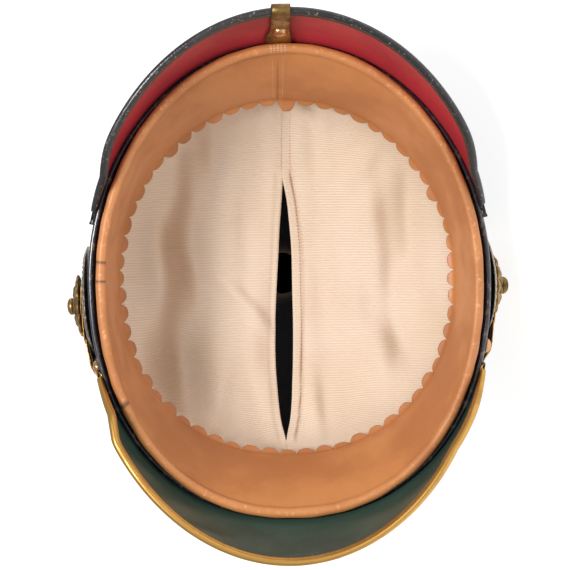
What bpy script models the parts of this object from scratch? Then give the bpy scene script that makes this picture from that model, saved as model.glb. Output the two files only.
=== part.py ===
"""A spiked leather helmet, lying on its right side with its opening turned outwards.

Every piece is modelled as the helmet is worn, in metres: +X is the wearer's left, -Y the front, +Z up,
and the origin is the centre of the rim. One empty then lays the whole helmet down on its spike and its
right-hand fittings, as it comes to rest by itself, with the bottom centre of its box at the origin.
"""

import math

import bmesh
import bpy
import numpy as np
from mathutils import Matrix, Vector

# Clearance that pieces keep where they meet, and inside a channel folded over a curved edge.
GAP = 0.0003
CHANNEL_GAP = 0.00045

# Shell of boiled leather.
SHELL_HALF_LENGTH = 0.1085
SHELL_HALF_WIDTH = 0.0920
SHELL_HEIGHT = 0.124
SHELL_WALL = 0.0026
SHELL_ROUNDNESS = 2.3
FRONT_ROUNDNESS = 2.2
REAR_ROUNDNESS = 2.0
VENT_RADIUS = 0.0105

# Peak: how far its edge reaches beyond the shell, how far it drops, and where it ends at the sides.
PEAK_REACH = 0.0160
PEAK_SIDE_REACH = 0.0005
PEAK_CORNER_INSET = 0.0130
PEAK_EDGE_FRONT = SHELL_HALF_LENGTH + PEAK_REACH
PEAK_EDGE_HALF_WIDTH = SHELL_HALF_WIDTH + PEAK_SIDE_REACH
PEAK_CORNER_HALF_WIDTH = SHELL_HALF_WIDTH - PEAK_CORNER_INSET
PEAK_DROP = 0.0320
PEAK_END_ANGLE = 66.0
PEAK_END_WIDTH = 0.0022
PEAK_THICKNESS = 0.0015
PEAK_CORNER_SHARPNESS = 45

# Neck guard.
GUARD_REACH = 0.0128
GUARD_SIDE_REACH = 0.0036
GUARD_EDGE_REAR = SHELL_HALF_LENGTH + GUARD_REACH
GUARD_EDGE_HALF_WIDTH = SHELL_HALF_WIDTH + GUARD_SIDE_REACH
GUARD_DROP = 0.0340
GUARD_END_ANGLE = 73.0
GUARD_THICKNESS = 0.0015

# Height of the peak's and guard's flanges on the shell, and how far both hang down at their ends.
FLANGE_HEIGHT = 0.0045
BRIM_END_DROP = 0.0050

# Brass channel on the peak's edge and leather binding on the guard's.
TRIM_WALL = 0.0006
TRIM_DEPTH = 0.0022
BINDING_WALL = 0.0010
BINDING_DEPTH = 0.0030

# Sweatband: rolled bead under the rim, and the scalloped free edge inside the bowl.
BEAD_RADIUS = 0.0024
BEAD_SIDE_INSET = 0.0037
BEAD_END_INSET = 0.0011
BEAD_EDGE_HALF_WIDTH = SHELL_HALF_WIDTH - BEAD_SIDE_INSET
BEAD_EDGE_HALF_LENGTH = SHELL_HALF_LENGTH - BEAD_END_INSET
BAND_THICKNESS = 0.0012
BAND_HEIGHT = 0.0400
BAND_SIDE_INSET = 0.0136
BAND_FRONT_INSET = 0.0270
BAND_REAR_INSET = 0.0255
BAND_EDGE_HALF_WIDTH = SHELL_HALF_WIDTH - BAND_SIDE_INSET
BAND_EDGE_FRONT = SHELL_HALF_LENGTH - BAND_FRONT_INSET
BAND_EDGE_REAR = SHELL_HALF_LENGTH - BAND_REAR_INSET
SCALLOP_COUNT = 60
SCALLOP_DEPTH = 0.0018

# Lining: two halves of silk with a slit between them.
LINING_THICKNESS = 0.0010
LINING_OVERLAP = 0.0060
LINING_CROWN = 0.0800
SLIT_HALF_WIDTH = 0.0044
SLIT_REAR = 0.0490
SLIT_WIDEST = -0.0200
SLIT_FRONT = -0.0765
SEAM_HALF_GAP = 0.0003

# Cross-shaped base, collar and spike.
BASE_ARM_REACH = 0.0420
BASE_WAIST_REACH = 0.0245
BASE_HOLE_RADIUS = 0.0090
BASE_THICKNESS = 0.0012
BASE_LIFT = 0.0005
BASE_STUD_RADIUS = 0.0042
BASE_STUD_PLACE = 0.0345
COLLAR_RADIUS = 0.0195
COLLAR_HEIGHT = 0.0125
COLLAR_BORE = 0.0080
SPIKE_FOOT_RADIUS = 0.0150
SPIKE_HEIGHT = 0.0850
SPIKE_TIP_RADIUS = 0.0016

# Spine down the back, hooked round the guard.
SPINE_HALF_WIDTH = 0.0046
SPINE_THICKNESS = 0.0009
SPINE_STUD_RADIUS = 0.0037
SPINE_STUD_PLACE = 0.30

# Fittings at the sides.
FITTING_FORWARD = 0.0070
FITTING_HEIGHT = 0.0320
COCKADE_RADIUS = 0.0275
COCKADE_THICKNESS = 0.0022
ROSETTE_RADIUS = 0.0145
ROSETTE_HEIGHT = 0.0050
KNOB_RADIUS = 0.0030
TRIM_STUD_RADIUS = 0.0038
TRIM_STUD_ANGLE = 70.5
TRIM_STUD_HEIGHT = 0.0050

# Chin scales on a leather strap.
SCALES_PER_SIDE = 12
SCALE_WIDTH_AT_SIDE = 0.0240
SCALE_WIDTH_AT_FRONT = 0.0150
SCALE_THICKNESS = 0.0022
SCALE_STEP = 0.0010
STRAP_HEIGHT_AT_FRONT = 0.0145
STRAP_LIFT = 0.0007
STRAP_MEETING_GAP = 0.0003

# Side that the helmet lies on: the wearer's right, a little to the rear and over onto the spike.
LYING_TOWARDS = (-0.85, 0.20, 0.45)

# How finely the solids are faceted.
SHELL_COLUMNS = 48
SHELL_RINGS = 9
BRIM_COLUMNS = 30
BRIM_ROWS = 5
COLUMNS_PER_SCALLOP = 3
STUD_SIDES = 10


def plan_radius(angle, half_width, front, rear):
    """Reach of the egg-shaped plan: half a superellipse to the front and half a plain ellipse to the rear."""
    across = np.abs(np.cos(angle)) / half_width
    along = np.abs(np.sin(angle)) / np.where(np.sin(angle) < 0, front, rear)
    power = np.where(np.sin(angle) < 0, FRONT_ROUNDNESS, REAR_ROUNDNESS)
    return (across ** power + along ** power) ** (-1 / power)


def shell_plan(angle, inset=0.0):
    """Reach of the shell's rim, drawn in by inset."""
    length = SHELL_HALF_LENGTH - inset
    return plan_radius(angle, SHELL_HALF_WIDTH - inset, length, length)


def shell_radius(angle, height, inset=0.0):
    """Distance from the spike's axis to the shell at a height."""
    share = np.clip(height / (SHELL_HEIGHT - inset), 0, 1)
    return shell_plan(angle, inset) * (1 - share ** SHELL_ROUNDNESS) ** (1 / SHELL_ROUNDNESS)


def shell_height(angle, radius, inset=0.0):
    """Height of the shell over a point of its plan."""
    share = np.clip(radius / shell_plan(angle, inset), 0, 1)
    return (SHELL_HEIGHT - inset) * (1 - share ** SHELL_ROUNDNESS) ** (1 / SHELL_ROUNDNESS)


def polar(radius, angle, height):
    """Points from a distance, an angle from the wearer's left and a height."""
    return np.stack(np.broadcast_arrays(radius * np.cos(angle), radius * np.sin(angle), height), axis=-1)


def unit(vectors):
    return vectors / np.linalg.norm(vectors, axis=-1, keepdims=True)


def surface_normals(grid):
    """Normals of a grid of points, rows by columns."""
    return unit(np.cross(np.gradient(grid, axis=1), np.gradient(grid, axis=0)))


def make_material(name, color, roughness, metallic=0.0):
    material = bpy.data.materials.new(name)
    material.use_nodes = True
    shader = material.node_tree.nodes["Principled BSDF"]
    shader.inputs["Base Color"].default_value = (*color, 1.0)
    shader.inputs["Roughness"].default_value = roughness
    shader.inputs["Metallic"].default_value = metallic
    material.diffuse_color = (*color, 1.0)
    return material


def make_object(name, points, faces, material):
    """A smooth-shaded object from points and faces, with its faces turned outwards."""
    mesh = bpy.data.meshes.new(name)
    mesh.from_pydata([tuple(point) for point in points], [], faces)
    work = bmesh.new()
    work.from_mesh(mesh)
    bmesh.ops.recalc_face_normals(work, faces=work.faces)
    if work.calc_volume(signed=True) < 0:
        bmesh.ops.reverse_faces(work, faces=work.faces)
    work.to_mesh(mesh)
    work.free()
    mesh.shade_smooth()
    mesh.set_sharp_from_angle(angle=math.radians(40))
    piece = bpy.data.objects.new(name, mesh)
    bpy.context.scene.collection.objects.link(piece)
    mesh.materials.append(material)
    return piece


def grid_faces(rows, columns, wrap_rows, wrap_columns):
    """Quads of a grid whose points are numbered row by row."""
    faces = []
    for row in range(rows if wrap_rows else rows - 1):
        for column in range(columns if wrap_columns else columns - 1):
            right = (column + 1) % columns
            above = (row + 1) % rows
            faces.append((row * columns + column, row * columns + right,
                          above * columns + right, above * columns + column))
    return faces


def make_ring(name, rings, material):
    """A closed band: a profile's points down the rows, and each row runs all the way round."""
    rows, columns, _ = rings.shape
    return make_object(name, rings.reshape(-1, 3), grid_faces(rows, columns, True, True), material)


def make_sweep(name, sections, material):
    """A bar: closed profiles down the rows, and a flat cap at each end."""
    rows, columns, _ = sections.shape
    faces = grid_faces(rows, columns, False, True)
    faces.append(tuple(range(columns)))
    faces.append(tuple(range((rows - 1) * columns, rows * columns)))
    return make_object(name, sections.reshape(-1, 3), faces, material)


def make_sheet(name, inner, outer, material):
    """A sheet with a wall: its inner face, its outer face and the edge between them."""
    rows, columns, _ = inner.shape
    count = rows * columns
    inside = grid_faces(rows, columns, False, False)
    faces = inside + [tuple(corner + count for corner in face) for face in inside]
    border = [*range(columns), *range(2 * columns - 1, count, columns),
              *range(count - 2, count - columns - 1, -1), *range(count - 2 * columns, 0, -columns)]
    for place, corner in enumerate(border):
        following = border[(place + 1) % len(border)]
        faces.append((corner, following, following + count, corner + count))
    return make_object(name, np.concatenate([inner, outer]).reshape(-1, 3), faces, material)


def make_turned(name, profile, sides, material, frame=Matrix.Identity(4)):
    """A turned solid: radius and height pairs that start and end on the axis, spun round it."""
    angles = np.linspace(0, 2 * math.pi, sides, endpoint=False)
    middle = np.array([polar(radius, angles, height) for radius, height in profile[1:-1]])
    points = [(0, 0, profile[0][1]), *middle.reshape(-1, 3), (0, 0, profile[-1][1])]
    faces = [tuple(corner + 1 for corner in face) for face in grid_faces(len(middle), sides, False, True)]
    last = len(points) - 1
    for side in range(sides):
        following = (side + 1) % sides
        faces.append((0, 1 + side, 1 + following))
        faces.append((last, last - sides + side, last - sides + following))
    return make_object(name, [frame @ Vector(point) for point in points], faces, material)


def frame_on(origin, normal, upward=(0, 0, 1)):
    """Matrix that stands a turned piece on a point, its axis along a normal."""
    along = Vector(normal).normalized()
    across = Vector(upward).cross(along).normalized()
    matrix = Matrix((across, along.cross(across), along)).transposed().to_4x4()
    matrix.translation = Vector(origin)
    return matrix


def dome_profile(radius, height, steps=3):
    """Half of an oval, from its flat foot on the axis to its top on the axis."""
    angles = np.linspace(0, math.pi / 2, steps + 1)
    return [(0, 0), *zip(radius * np.cos(angles[:-1]), height * np.sin(angles[:-1])), (0, height)]


def shell_frame(angle, height):
    """Matrix on the shell's outer face, its axis along the shell's normal."""
    turn = np.array([[angle - 0.01, angle, angle + 0.01]])
    level = height + np.array([[-0.001], [0.0], [0.001]])
    patch = polar(shell_radius(turn, level), turn, level)
    normal = surface_normals(patch)[1, 1]
    normal *= np.sign(np.dot(normal[:2], patch[1, 1][:2]))
    return frame_on(patch[1, 1], normal)


def crown_frame(angle, radius):
    """Matrix on the crown, its axis along the shell's normal."""
    return shell_frame(angle, float(shell_height(angle, radius)))


def ring_shares():
    """How far out each ring of the shell lies, from the rim to the vent."""
    return np.cos(np.linspace(0, math.pi / 2, SHELL_RINGS))


def build_shell(material):
    angles = np.linspace(0, 2 * math.pi, SHELL_COLUMNS, endpoint=False)
    outer = []
    inner = []
    for share in ring_shares():
        outside = VENT_RADIUS + (shell_plan(angles) - VENT_RADIUS) * share
        inside = VENT_RADIUS + (shell_plan(angles, SHELL_WALL) - VENT_RADIUS) * share
        outer.append(polar(outside, angles, shell_height(angles, outside)))
        inner.append(polar(inside, angles, shell_height(angles, inside, SHELL_WALL)))
    return make_ring("shell", np.array(outer + inner[::-1]), material)


def ellipse_radius(turn, half_width, reach):
    return 1 / np.hypot(np.sin(turn) / half_width, np.cos(turn) / reach)


def peak_edge(turn):
    """Reach and drop of the peak's edge: an ellipse, cut by a straight side beyond each corner."""
    ellipse = ellipse_radius(turn, PEAK_EDGE_HALF_WIDTH, PEAK_EDGE_FRONT)
    end = math.radians(PEAK_END_ANGLE)
    end_reach = float(shell_plan(end - math.pi / 2)) + PEAK_END_WIDTH
    start = np.array([end_reach * math.sin(end), end_reach * math.cos(end)])
    corner_forward = PEAK_EDGE_FRONT * math.sqrt(1 - (PEAK_CORNER_HALF_WIDTH / PEAK_EDGE_HALF_WIDTH) ** 2)
    corner = np.array([PEAK_CORNER_HALF_WIDTH, corner_forward])
    run = corner - start
    normal = np.array([run[1], -run[0]]) / np.hypot(*run)
    side = normal @ start / np.maximum(normal[0] * np.abs(np.sin(turn)) + normal[1] * np.cos(turn), 1e-3)
    power = PEAK_CORNER_SHARPNESS
    reach = (ellipse ** -power + side ** -power) ** (-1 / power)
    share = np.clip((PEAK_EDGE_FRONT - reach * np.cos(turn)) / (PEAK_EDGE_FRONT - start[1]), 0, 1)
    return reach, BRIM_END_DROP + (PEAK_DROP - BRIM_END_DROP) * (1 - share ** 2.6)


def guard_edge(turn):
    """Reach and drop of the guard's edge: an ellipse whose drop fades out to the sides."""
    reach = ellipse_radius(turn, GUARD_EDGE_HALF_WIDTH, GUARD_EDGE_REAR)
    end = math.radians(GUARD_END_ANGLE)
    end_along = float(ellipse_radius(end, GUARD_EDGE_HALF_WIDTH, GUARD_EDGE_REAR)) * math.cos(end)
    share = np.clip((GUARD_EDGE_REAR - reach * np.cos(turn)) / (GUARD_EDGE_REAR - end_along), 0, 1)
    return reach, BRIM_END_DROP + (GUARD_DROP - BRIM_END_DROP) * (1 - share ** 1.7)


def brim_faces(edge, facing, end_angle, thickness, hem, columns=BRIM_COLUMNS):
    """Inner and outer face of a peak or guard: flange, root, and a curve to an edge with a hem of its own."""
    even = np.linspace(-1, 1, columns)[None, :]
    turn = math.radians(end_angle) * (0.6 * even + 0.4 * np.sin(even * math.pi / 2))
    angle = facing * (math.pi / 2 - turn)
    reach, drop = edge(turn)
    root = shell_plan(angle) + GAP
    hem_share = 1 - hem / np.hypot(reach - root, drop)
    share = np.concatenate([np.linspace(0, 1, BRIM_ROWS - 1)[:, None] * hem_share, np.ones_like(turn)])
    bow = 2 * share * (1 - share)
    radius = root + (reach - root) * (0.62 * bow + share ** 2)
    height = -drop * (0.38 * bow + share ** 2)
    leaf = polar(radius, angle, height)
    flange = polar(root, angle, FLANGE_HEIGHT)
    inner = np.concatenate([flange, leaf])
    normals = surface_normals(inner)
    outward = np.sign(np.sum(normals[0, columns // 2] * flange[0, columns // 2]))
    return inner, inner + outward * thickness * normals


def edge_channel(inner, outer, wall):
    """Inside and outside of a channel folded over the hem of a sheet, its last two rows."""
    across = unit(outer - inner)
    start, edge = across[-2], across[-1]
    middle = (inner + outer) / 2
    beyond = unit(middle[-1] - middle[-2])
    half = np.linalg.norm(outer[-1] - inner[-1], axis=-1, keepdims=True) / 2 + CHANNEL_GAP
    inside = [inner[-2] - CHANNEL_GAP * start]
    outside = [inner[-2] - (CHANNEL_GAP + wall) * start]
    centre = middle[-1] + (CHANNEL_GAP - half) * beyond
    chamfers = ((0, -1), (1, -0.55), (1, 0.55), (0, 1))
    for (ahead, side), bend in zip(chamfers, np.radians(np.linspace(-90, 90, 4))):
        inside.append(middle[-1] + ahead * CHANNEL_GAP * beyond + side * half * edge)
        outside.append(centre + (half + wall) * (math.cos(bend) * beyond + math.sin(bend) * edge))
    inside.append(outer[-2] + CHANNEL_GAP * start)
    outside.append(outer[-2] + (CHANNEL_GAP + wall) * start)
    return np.array(inside), np.array(outside)


def build_brims(materials):
    peak = brim_faces(peak_edge, -1, PEAK_END_ANGLE, PEAK_THICKNESS, TRIM_DEPTH)
    guard = brim_faces(guard_edge, 1, GUARD_END_ANGLE, GUARD_THICKNESS, BINDING_DEPTH)
    trim = edge_channel(*peak, TRIM_WALL)
    binding = edge_channel(*guard, BINDING_WALL)
    return [
        make_sheet("front_peak", *peak, materials["green_leather"]),
        make_sheet("neck_guard", *guard, materials["red_leather"]),
        make_sheet("peak_trim", *trim, materials["brass"]),
        make_sheet("guard_binding", *binding, materials["black_leather"]),
    ]


def spine_path():
    """Middle line of the spine in the plane of symmetry, with the direction that faces away from the bowl."""
    rear = math.pi / 2
    lift = GAP + SPINE_THICKNESS / 2
    inner, outer = brim_faces(guard_edge, 1, GUARD_END_ANGLE, GUARD_THICKNESS, BINDING_DEPTH, columns=3)
    middle = (inner[:, 1] + outer[:, 1]) / 2
    facing = unit(outer[:, 1] - inner[:, 1])
    points = []
    outward = []
    rings = VENT_RADIUS + (SHELL_HALF_LENGTH - VENT_RADIUS) * ring_shares()
    top = BASE_ARM_REACH + 2 * GAP
    levels = [top, *sorted(radius for radius in rings if radius > top + SPINE_HALF_WIDTH / 2)]
    heights = [height for height in shell_height(rear, np.array(levels)) if height > 2 * FLANGE_HEIGHT]
    for height in heights:
        place = shell_frame(rear, float(height))
        points.append(np.array(place.translation) + lift * np.array(place.col[2][:3]))
        outward.append(np.array(place.col[2][:3]))
    points.append(outer[0, 1] + np.array([0, lift + GAP, 2 * GAP]))
    outward.append(np.array([0, 1.0, 0]))
    reach = GUARD_THICKNESS / 2 + CHANNEL_GAP + BINDING_WALL + GAP + SPINE_THICKNESS / 2
    for row in range(2, BRIM_ROWS + 1):
        points.append(middle[row] + reach * facing[row])
        outward.append(facing[row])
    edge = middle[-1]
    normal = facing[-1]
    beyond = np.array([0, -normal[2], normal[1]])
    beyond *= np.sign(beyond @ (edge - middle[-2]))
    for bend in np.radians([60, 30, 0, -30, -60, -90]):
        points.append(edge + reach * math.sin(bend) * normal + (reach * math.cos(bend) + CHANNEL_GAP) * beyond)
        outward.append(normal)
    for row in range(BRIM_ROWS, 2, -1):
        points.append(middle[row] - reach * facing[row])
        outward.append(facing[row])
    points.append(middle[2] * 0.4 + middle[3] * 0.6 - reach * facing[2])
    outward.append(facing[2])
    return np.array(points), np.array(outward)


def build_spine(materials):
    points, outward = spine_path()
    run = unit(np.gradient(points, axis=0))
    across = np.array([1.0, 0, 0])
    thick = np.cross(run, across)
    bend_radius = SHELL_HALF_WIDTH ** 2 / SHELL_HALF_LENGTH
    sections = []
    for side, face in ((-1, -1), (0, -1), (1, -1), (1, 1), (0, 1), (-1, 1)):
        width = side * SPINE_HALF_WIDTH
        sections.append(points + width * across - outward * width ** 2 / (2 * bend_radius)
                        + face * SPINE_THICKNESS / 2 * thick)
    strip = make_sweep("rear_spine", np.stack(sections, axis=1), materials["brass"])
    last = len(points) - 1
    root = points[last] + (points[last - 2] - points[last]) * SPINE_STUD_PLACE
    facing = thick[last] * np.sign(thick[last] @ (-outward[last]))
    foot = root + facing * (SPINE_THICKNESS / 2 + GAP)
    profile = dome_profile(SPINE_STUD_RADIUS, 0.6 * SPINE_STUD_RADIUS)
    stud = make_turned("spine_stud", profile, STUD_SIDES, materials["brass"], frame_on(foot, facing, (1, 0, 0)))
    return [strip, stud]


def band_middle(angle):
    """Reach and height of the sweatband's inner face where it bends, between its bead and its edge."""
    length = BEAD_EDGE_HALF_LENGTH - BEAD_RADIUS
    bead = plan_radius(angle, BEAD_EDGE_HALF_WIDTH - BEAD_RADIUS, length, length)
    edge = plan_radius(angle, BAND_EDGE_HALF_WIDTH, BAND_EDGE_FRONT, BAND_EDGE_REAR)
    return bead * 0.4 + edge * 0.6, 0.45 * BAND_HEIGHT


def build_sweatband(material):
    columns = SCALLOP_COUNT * COLUMNS_PER_SCALLOP
    angles = np.linspace(0, 2 * math.pi, columns, endpoint=False)
    bead_length = BEAD_EDGE_HALF_LENGTH - BEAD_RADIUS
    bead = plan_radius(angles, BEAD_EDGE_HALF_WIDTH - BEAD_RADIUS, bead_length, bead_length)
    edge = plan_radius(angles, BAND_EDGE_HALF_WIDTH, BAND_EDGE_FRONT, BAND_EDGE_REAR)
    tongue = np.where(np.arange(columns) % COLUMNS_PER_SCALLOP == 0, -SCALLOP_DEPTH, 0.0)
    level = -BEAD_RADIUS - GAP
    rings = [polar(edge + BAND_THICKNESS, angles, BAND_HEIGHT + tongue)]
    middle, middle_height = band_middle(angles)
    rings.append(polar(middle + BAND_THICKNESS, angles, middle_height))
    for bend in np.radians([80, 0, -80, -170]):
        rings.append(polar(bead + BEAD_RADIUS * math.cos(bend), angles, level + BEAD_RADIUS * math.sin(bend)))
    rings.append(polar(middle, angles, middle_height))
    rings.append(polar(edge, angles, BAND_HEIGHT + tongue))
    return make_ring("sweatband", np.array(rings), material)


def slit_half_width(along):
    """Half the slit's width along the helmet: a lens, widest a little in front of the middle."""
    end = np.where(along > SLIT_WIDEST, SLIT_REAR, SLIT_FRONT)
    share = np.clip((along - SLIT_WIDEST) / (end - SLIT_WIDEST), 0, 1)
    return SEAM_HALF_GAP + (SLIT_HALF_WIDTH - SEAM_HALF_GAP) * (1 - share ** 2)


def build_lining(name, side, material):
    """Half of the lining: up behind the band's edge, then over in a dome to the slit."""
    turn = np.radians(np.linspace(-89.5, 89.5, 25))
    edge = plan_radius(turn, BAND_EDGE_HALF_WIDTH, BAND_EDGE_FRONT, BAND_EDGE_REAR)
    middle, middle_height = band_middle(turn)
    lean = (middle - edge) * LINING_OVERLAP / (BAND_HEIGHT - middle_height)
    outset = BAND_THICKNESS + 2 * GAP + LINING_THICKNESS
    foot = polar(edge + lean + outset, turn, BAND_HEIGHT - LINING_OVERLAP)
    spring = polar(edge + outset, turn, BAND_HEIGHT + 2 * GAP)
    along = spring[:, 1]
    across = np.maximum(spring[:, 0], 2 * SEAM_HALF_GAP)
    reach = np.where(along > 0, along.max(), -along.min())
    arch = np.clip(1 - np.abs(along / reach) ** 2.4, 0, 1) ** (1 / 2.4)
    crown = BAND_HEIGHT + LINING_OVERLAP + (LINING_CROWN - BAND_HEIGHT - LINING_OVERLAP) * arch
    slit = np.minimum(slit_half_width(along), 0.5 * across)
    rows = [foot]
    for rise in np.radians(np.linspace(0, 90, 5)):
        width = slit + (across - slit) * math.cos(rise)
        rows.append(np.stack([width, along, spring[:, 2] + (crown - spring[:, 2]) * math.sin(rise)], axis=1))
    outer = np.array(rows)
    normals = surface_normals(outer)
    normals *= np.sign(normals[3, 12, 2])
    inner = outer - LINING_THICKNESS * normals
    inner[..., 0] = np.maximum(inner[..., 0], SEAM_HALF_GAP)
    turned = np.array([side, 1, 1])
    return make_sheet(name, inner * turned, outer * turned, material)


def build_base(materials):
    """Cross-shaped plate that follows the crown, with a domed stud on each arm."""
    angles = np.linspace(0, 2 * math.pi, 40, endpoint=False)
    arms = np.abs(np.cos(2 * angles)) ** 1.6
    reach = BASE_WAIST_REACH + (BASE_ARM_REACH - BASE_WAIST_REACH) * arms
    lower = []
    upper = []
    for share in np.linspace(0, 1, 4):
        radius = BASE_HOLE_RADIUS + (reach - BASE_HOLE_RADIUS) * share
        height = shell_height(angles, radius) + BASE_LIFT
        lower.append(polar(radius, angles, height))
        upper.append(polar(radius, angles, height + BASE_THICKNESS))
    pieces = [make_ring("spike_base", np.array(lower + upper[::-1]), materials["brass"])]
    profile = dome_profile(BASE_STUD_RADIUS, 0.7 * BASE_STUD_RADIUS)
    for name, angle in (("left", 0), ("rear", 90), ("right", 180), ("front", 270)):
        place = crown_frame(math.radians(angle), BASE_STUD_PLACE)
        place @= Matrix.Translation((0, 0, 3 * GAP + BASE_THICKNESS))
        pieces.append(make_turned("base_stud_" + name, profile, STUD_SIDES, materials["brass"], place))
    return pieces


def collar_foot():
    """Level on which the collar stands: just over the plate at the middle of the crown."""
    return SHELL_HEIGHT + 3 * GAP + BASE_THICKNESS


def build_spike(materials):
    foot = collar_foot()
    collar = [
        (COLLAR_BORE, foot), (COLLAR_RADIUS, foot), (COLLAR_RADIUS, foot + 0.18 * COLLAR_HEIGHT),
        (0.84 * COLLAR_RADIUS, foot + 0.36 * COLLAR_HEIGHT), (0.80 * COLLAR_RADIUS, foot + 0.70 * COLLAR_HEIGHT),
        (0.86 * COLLAR_RADIUS, foot + COLLAR_HEIGHT), (COLLAR_BORE, foot + COLLAR_HEIGHT),
    ]
    angles = np.linspace(0, 2 * math.pi, 20, endpoint=False)
    rings = np.array([polar(radius, angles, height) for radius, height in collar])
    start = foot + COLLAR_HEIGHT + GAP
    shares = np.array([0.0, 0.03, 0.10, 0.18, 0.28, 0.60, 0.96])
    waist = 0.42 * SPIKE_FOOT_RADIUS
    flare = (SPIKE_FOOT_RADIUS - waist) * np.clip(1 - shares / 0.22, 0, 1) ** 1.8
    cone = waist + (SPIKE_TIP_RADIUS - waist) * shares
    profile = [(0, start), *zip(flare + cone, start + shares * SPIKE_HEIGHT), (0, start + SPIKE_HEIGHT)]
    return [
        make_ring("spike_collar", rings, materials["brass"]),
        make_turned("spike", profile, 20, materials["brass"]),
    ]


def fitting_angle(side):
    """Angle of the side fittings, so that they sit forward of the middle."""
    angle = -math.asin(FITTING_FORWARD / SHELL_HALF_WIDTH)
    return angle if side > 0 else math.pi - angle


def build_fittings(name, side, materials):
    """Cockade, rosette with its knob, and the stud at the end of the peak's trim."""
    place = shell_frame(fitting_angle(side), FITTING_HEIGHT)
    seat = place @ Matrix.Translation((0, 0, GAP))
    plate = COCKADE_THICKNESS
    cockade = [(0, 0), (0.60 * COCKADE_RADIUS, 0), (COCKADE_RADIUS, 0.3 * plate), (COCKADE_RADIUS, 0.7 * plate),
               (0.85 * COCKADE_RADIUS, plate), (0.68 * COCKADE_RADIUS, 0.75 * plate), (0, 0.75 * plate)]
    strap = STRAP_SEAT + SCALE_THICKNESS + SCALE_STEP + GAP
    height = ROSETTE_HEIGHT
    rosette = [(0, 0), (ROSETTE_RADIUS, 0), (ROSETTE_RADIUS, 0.35 * height), (0.70 * ROSETTE_RADIUS, 0.55 * height),
               (0.62 * ROSETTE_RADIUS, height), (0.8 * KNOB_RADIUS, height), (KNOB_RADIUS, height + 0.8 * KNOB_RADIUS),
               (0.6 * KNOB_RADIUS, height + 1.6 * KNOB_RADIUS), (0, height + 1.8 * KNOB_RADIUS)]
    turn = math.radians(TRIM_STUD_ANGLE)
    stud_angle = turn - math.pi / 2 if side > 0 else -math.pi / 2 - turn
    stud_place = shell_frame(stud_angle, TRIM_STUD_HEIGHT) @ Matrix.Translation((0, 0, GAP))
    stud = dome_profile(TRIM_STUD_RADIUS, 0.8 * TRIM_STUD_RADIUS)
    return [
        make_turned("cockade_" + name, cockade, 24, materials["silver"], seat),
        make_turned("rosette_" + name, rosette, 18, materials["brass"], place @ Matrix.Translation((0, 0, strap))),
        make_turned("trim_stud_" + name, stud, STUD_SIDES, materials["brass"], stud_place),
    ]


# Distance from the shell to the strap's back where it lies on the cockade.
STRAP_SEAT = GAP + COCKADE_THICKNESS + GAP


def build_chin_scales(name, side, material):
    """Half of the chin scales: a strip of lapped scales from under the rosette to the middle of the front."""
    place = shell_frame(fitting_angle(side), FITTING_HEIGHT)
    origin = np.array(place.translation)
    normal = np.array(place.col[2][:3])
    start = fitting_angle(side)
    front_angle = -math.pi / 2 if side > 0 else 3 * math.pi / 2
    meeting = STRAP_MEETING_GAP / SHELL_HALF_LENGTH * side
    columns = 2 * SCALES_PER_SIDE + 3
    share = np.linspace(0, 1, columns)
    rear_overhang = 0.5 * SCALE_WIDTH_AT_SIDE / SHELL_HALF_LENGTH * side
    angle = (start + rear_overhang) + (front_angle + meeting - start - rear_overhang) * share
    height = STRAP_HEIGHT_AT_FRONT + (FITTING_HEIGHT - STRAP_HEIGHT_AT_FRONT) * (1 - share) ** 2
    width = SCALE_WIDTH_AT_FRONT + (SCALE_WIDTH_AT_SIDE - SCALE_WIDTH_AT_FRONT) * (1 - share)
    half = width / 2 * np.where(np.arange(columns) % 2 == 0, 0.88, 1.0)
    half[0] *= 0.5
    level = height + half * np.linspace(-1, 1, 4)[:, None]
    shell = polar(shell_radius(angle, level), angle, level)
    outward = surface_normals(shell)
    outward *= np.sign(np.sum(outward * shell, axis=-1, keepdims=True))
    lying = shell + STRAP_LIFT * outward
    stood = shell + normal * (STRAP_SEAT - (shell - origin) @ normal)[..., None]
    beyond = np.linalg.norm(shell - origin, axis=-1) - 1.05 * COCKADE_RADIUS - SCALE_WIDTH_AT_FRONT / 4
    fade = np.clip(beyond / COCKADE_RADIUS, 0, 1)
    fade = (fade * fade * (3 - 2 * fade))[..., None]
    inner = stood * (1 - fade) + lying * fade
    facing = surface_normals(inner)
    facing *= np.sign(np.sum(facing * shell, axis=-1, keepdims=True))
    crown = np.array([0.55, 1.0, 1.0, 0.55])[:, None]
    lap = SCALE_STEP * (np.arange(columns) % 2)
    thick = (SCALE_THICKNESS * crown + lap)[..., None]
    return make_sheet("chin_scales_" + name, inner, inner + facing * thick, material)


def solid_moment(mesh):
    """Volume of a closed mesh, and its volume times its centroid."""
    work = bmesh.new()
    work.from_mesh(mesh)
    bmesh.ops.triangulate(work, faces=work.faces)
    corners = np.array([[tuple(vertex.co) for vertex in face.verts] for face in work.faces])
    work.free()
    first, second, third = corners[:, 0], corners[:, 1], corners[:, 2]
    volumes = np.sum(first * np.cross(second, third), axis=1) / 6
    return volumes.sum(), (volumes[:, None] * (first + second + third) / 4).sum(axis=0)


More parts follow.
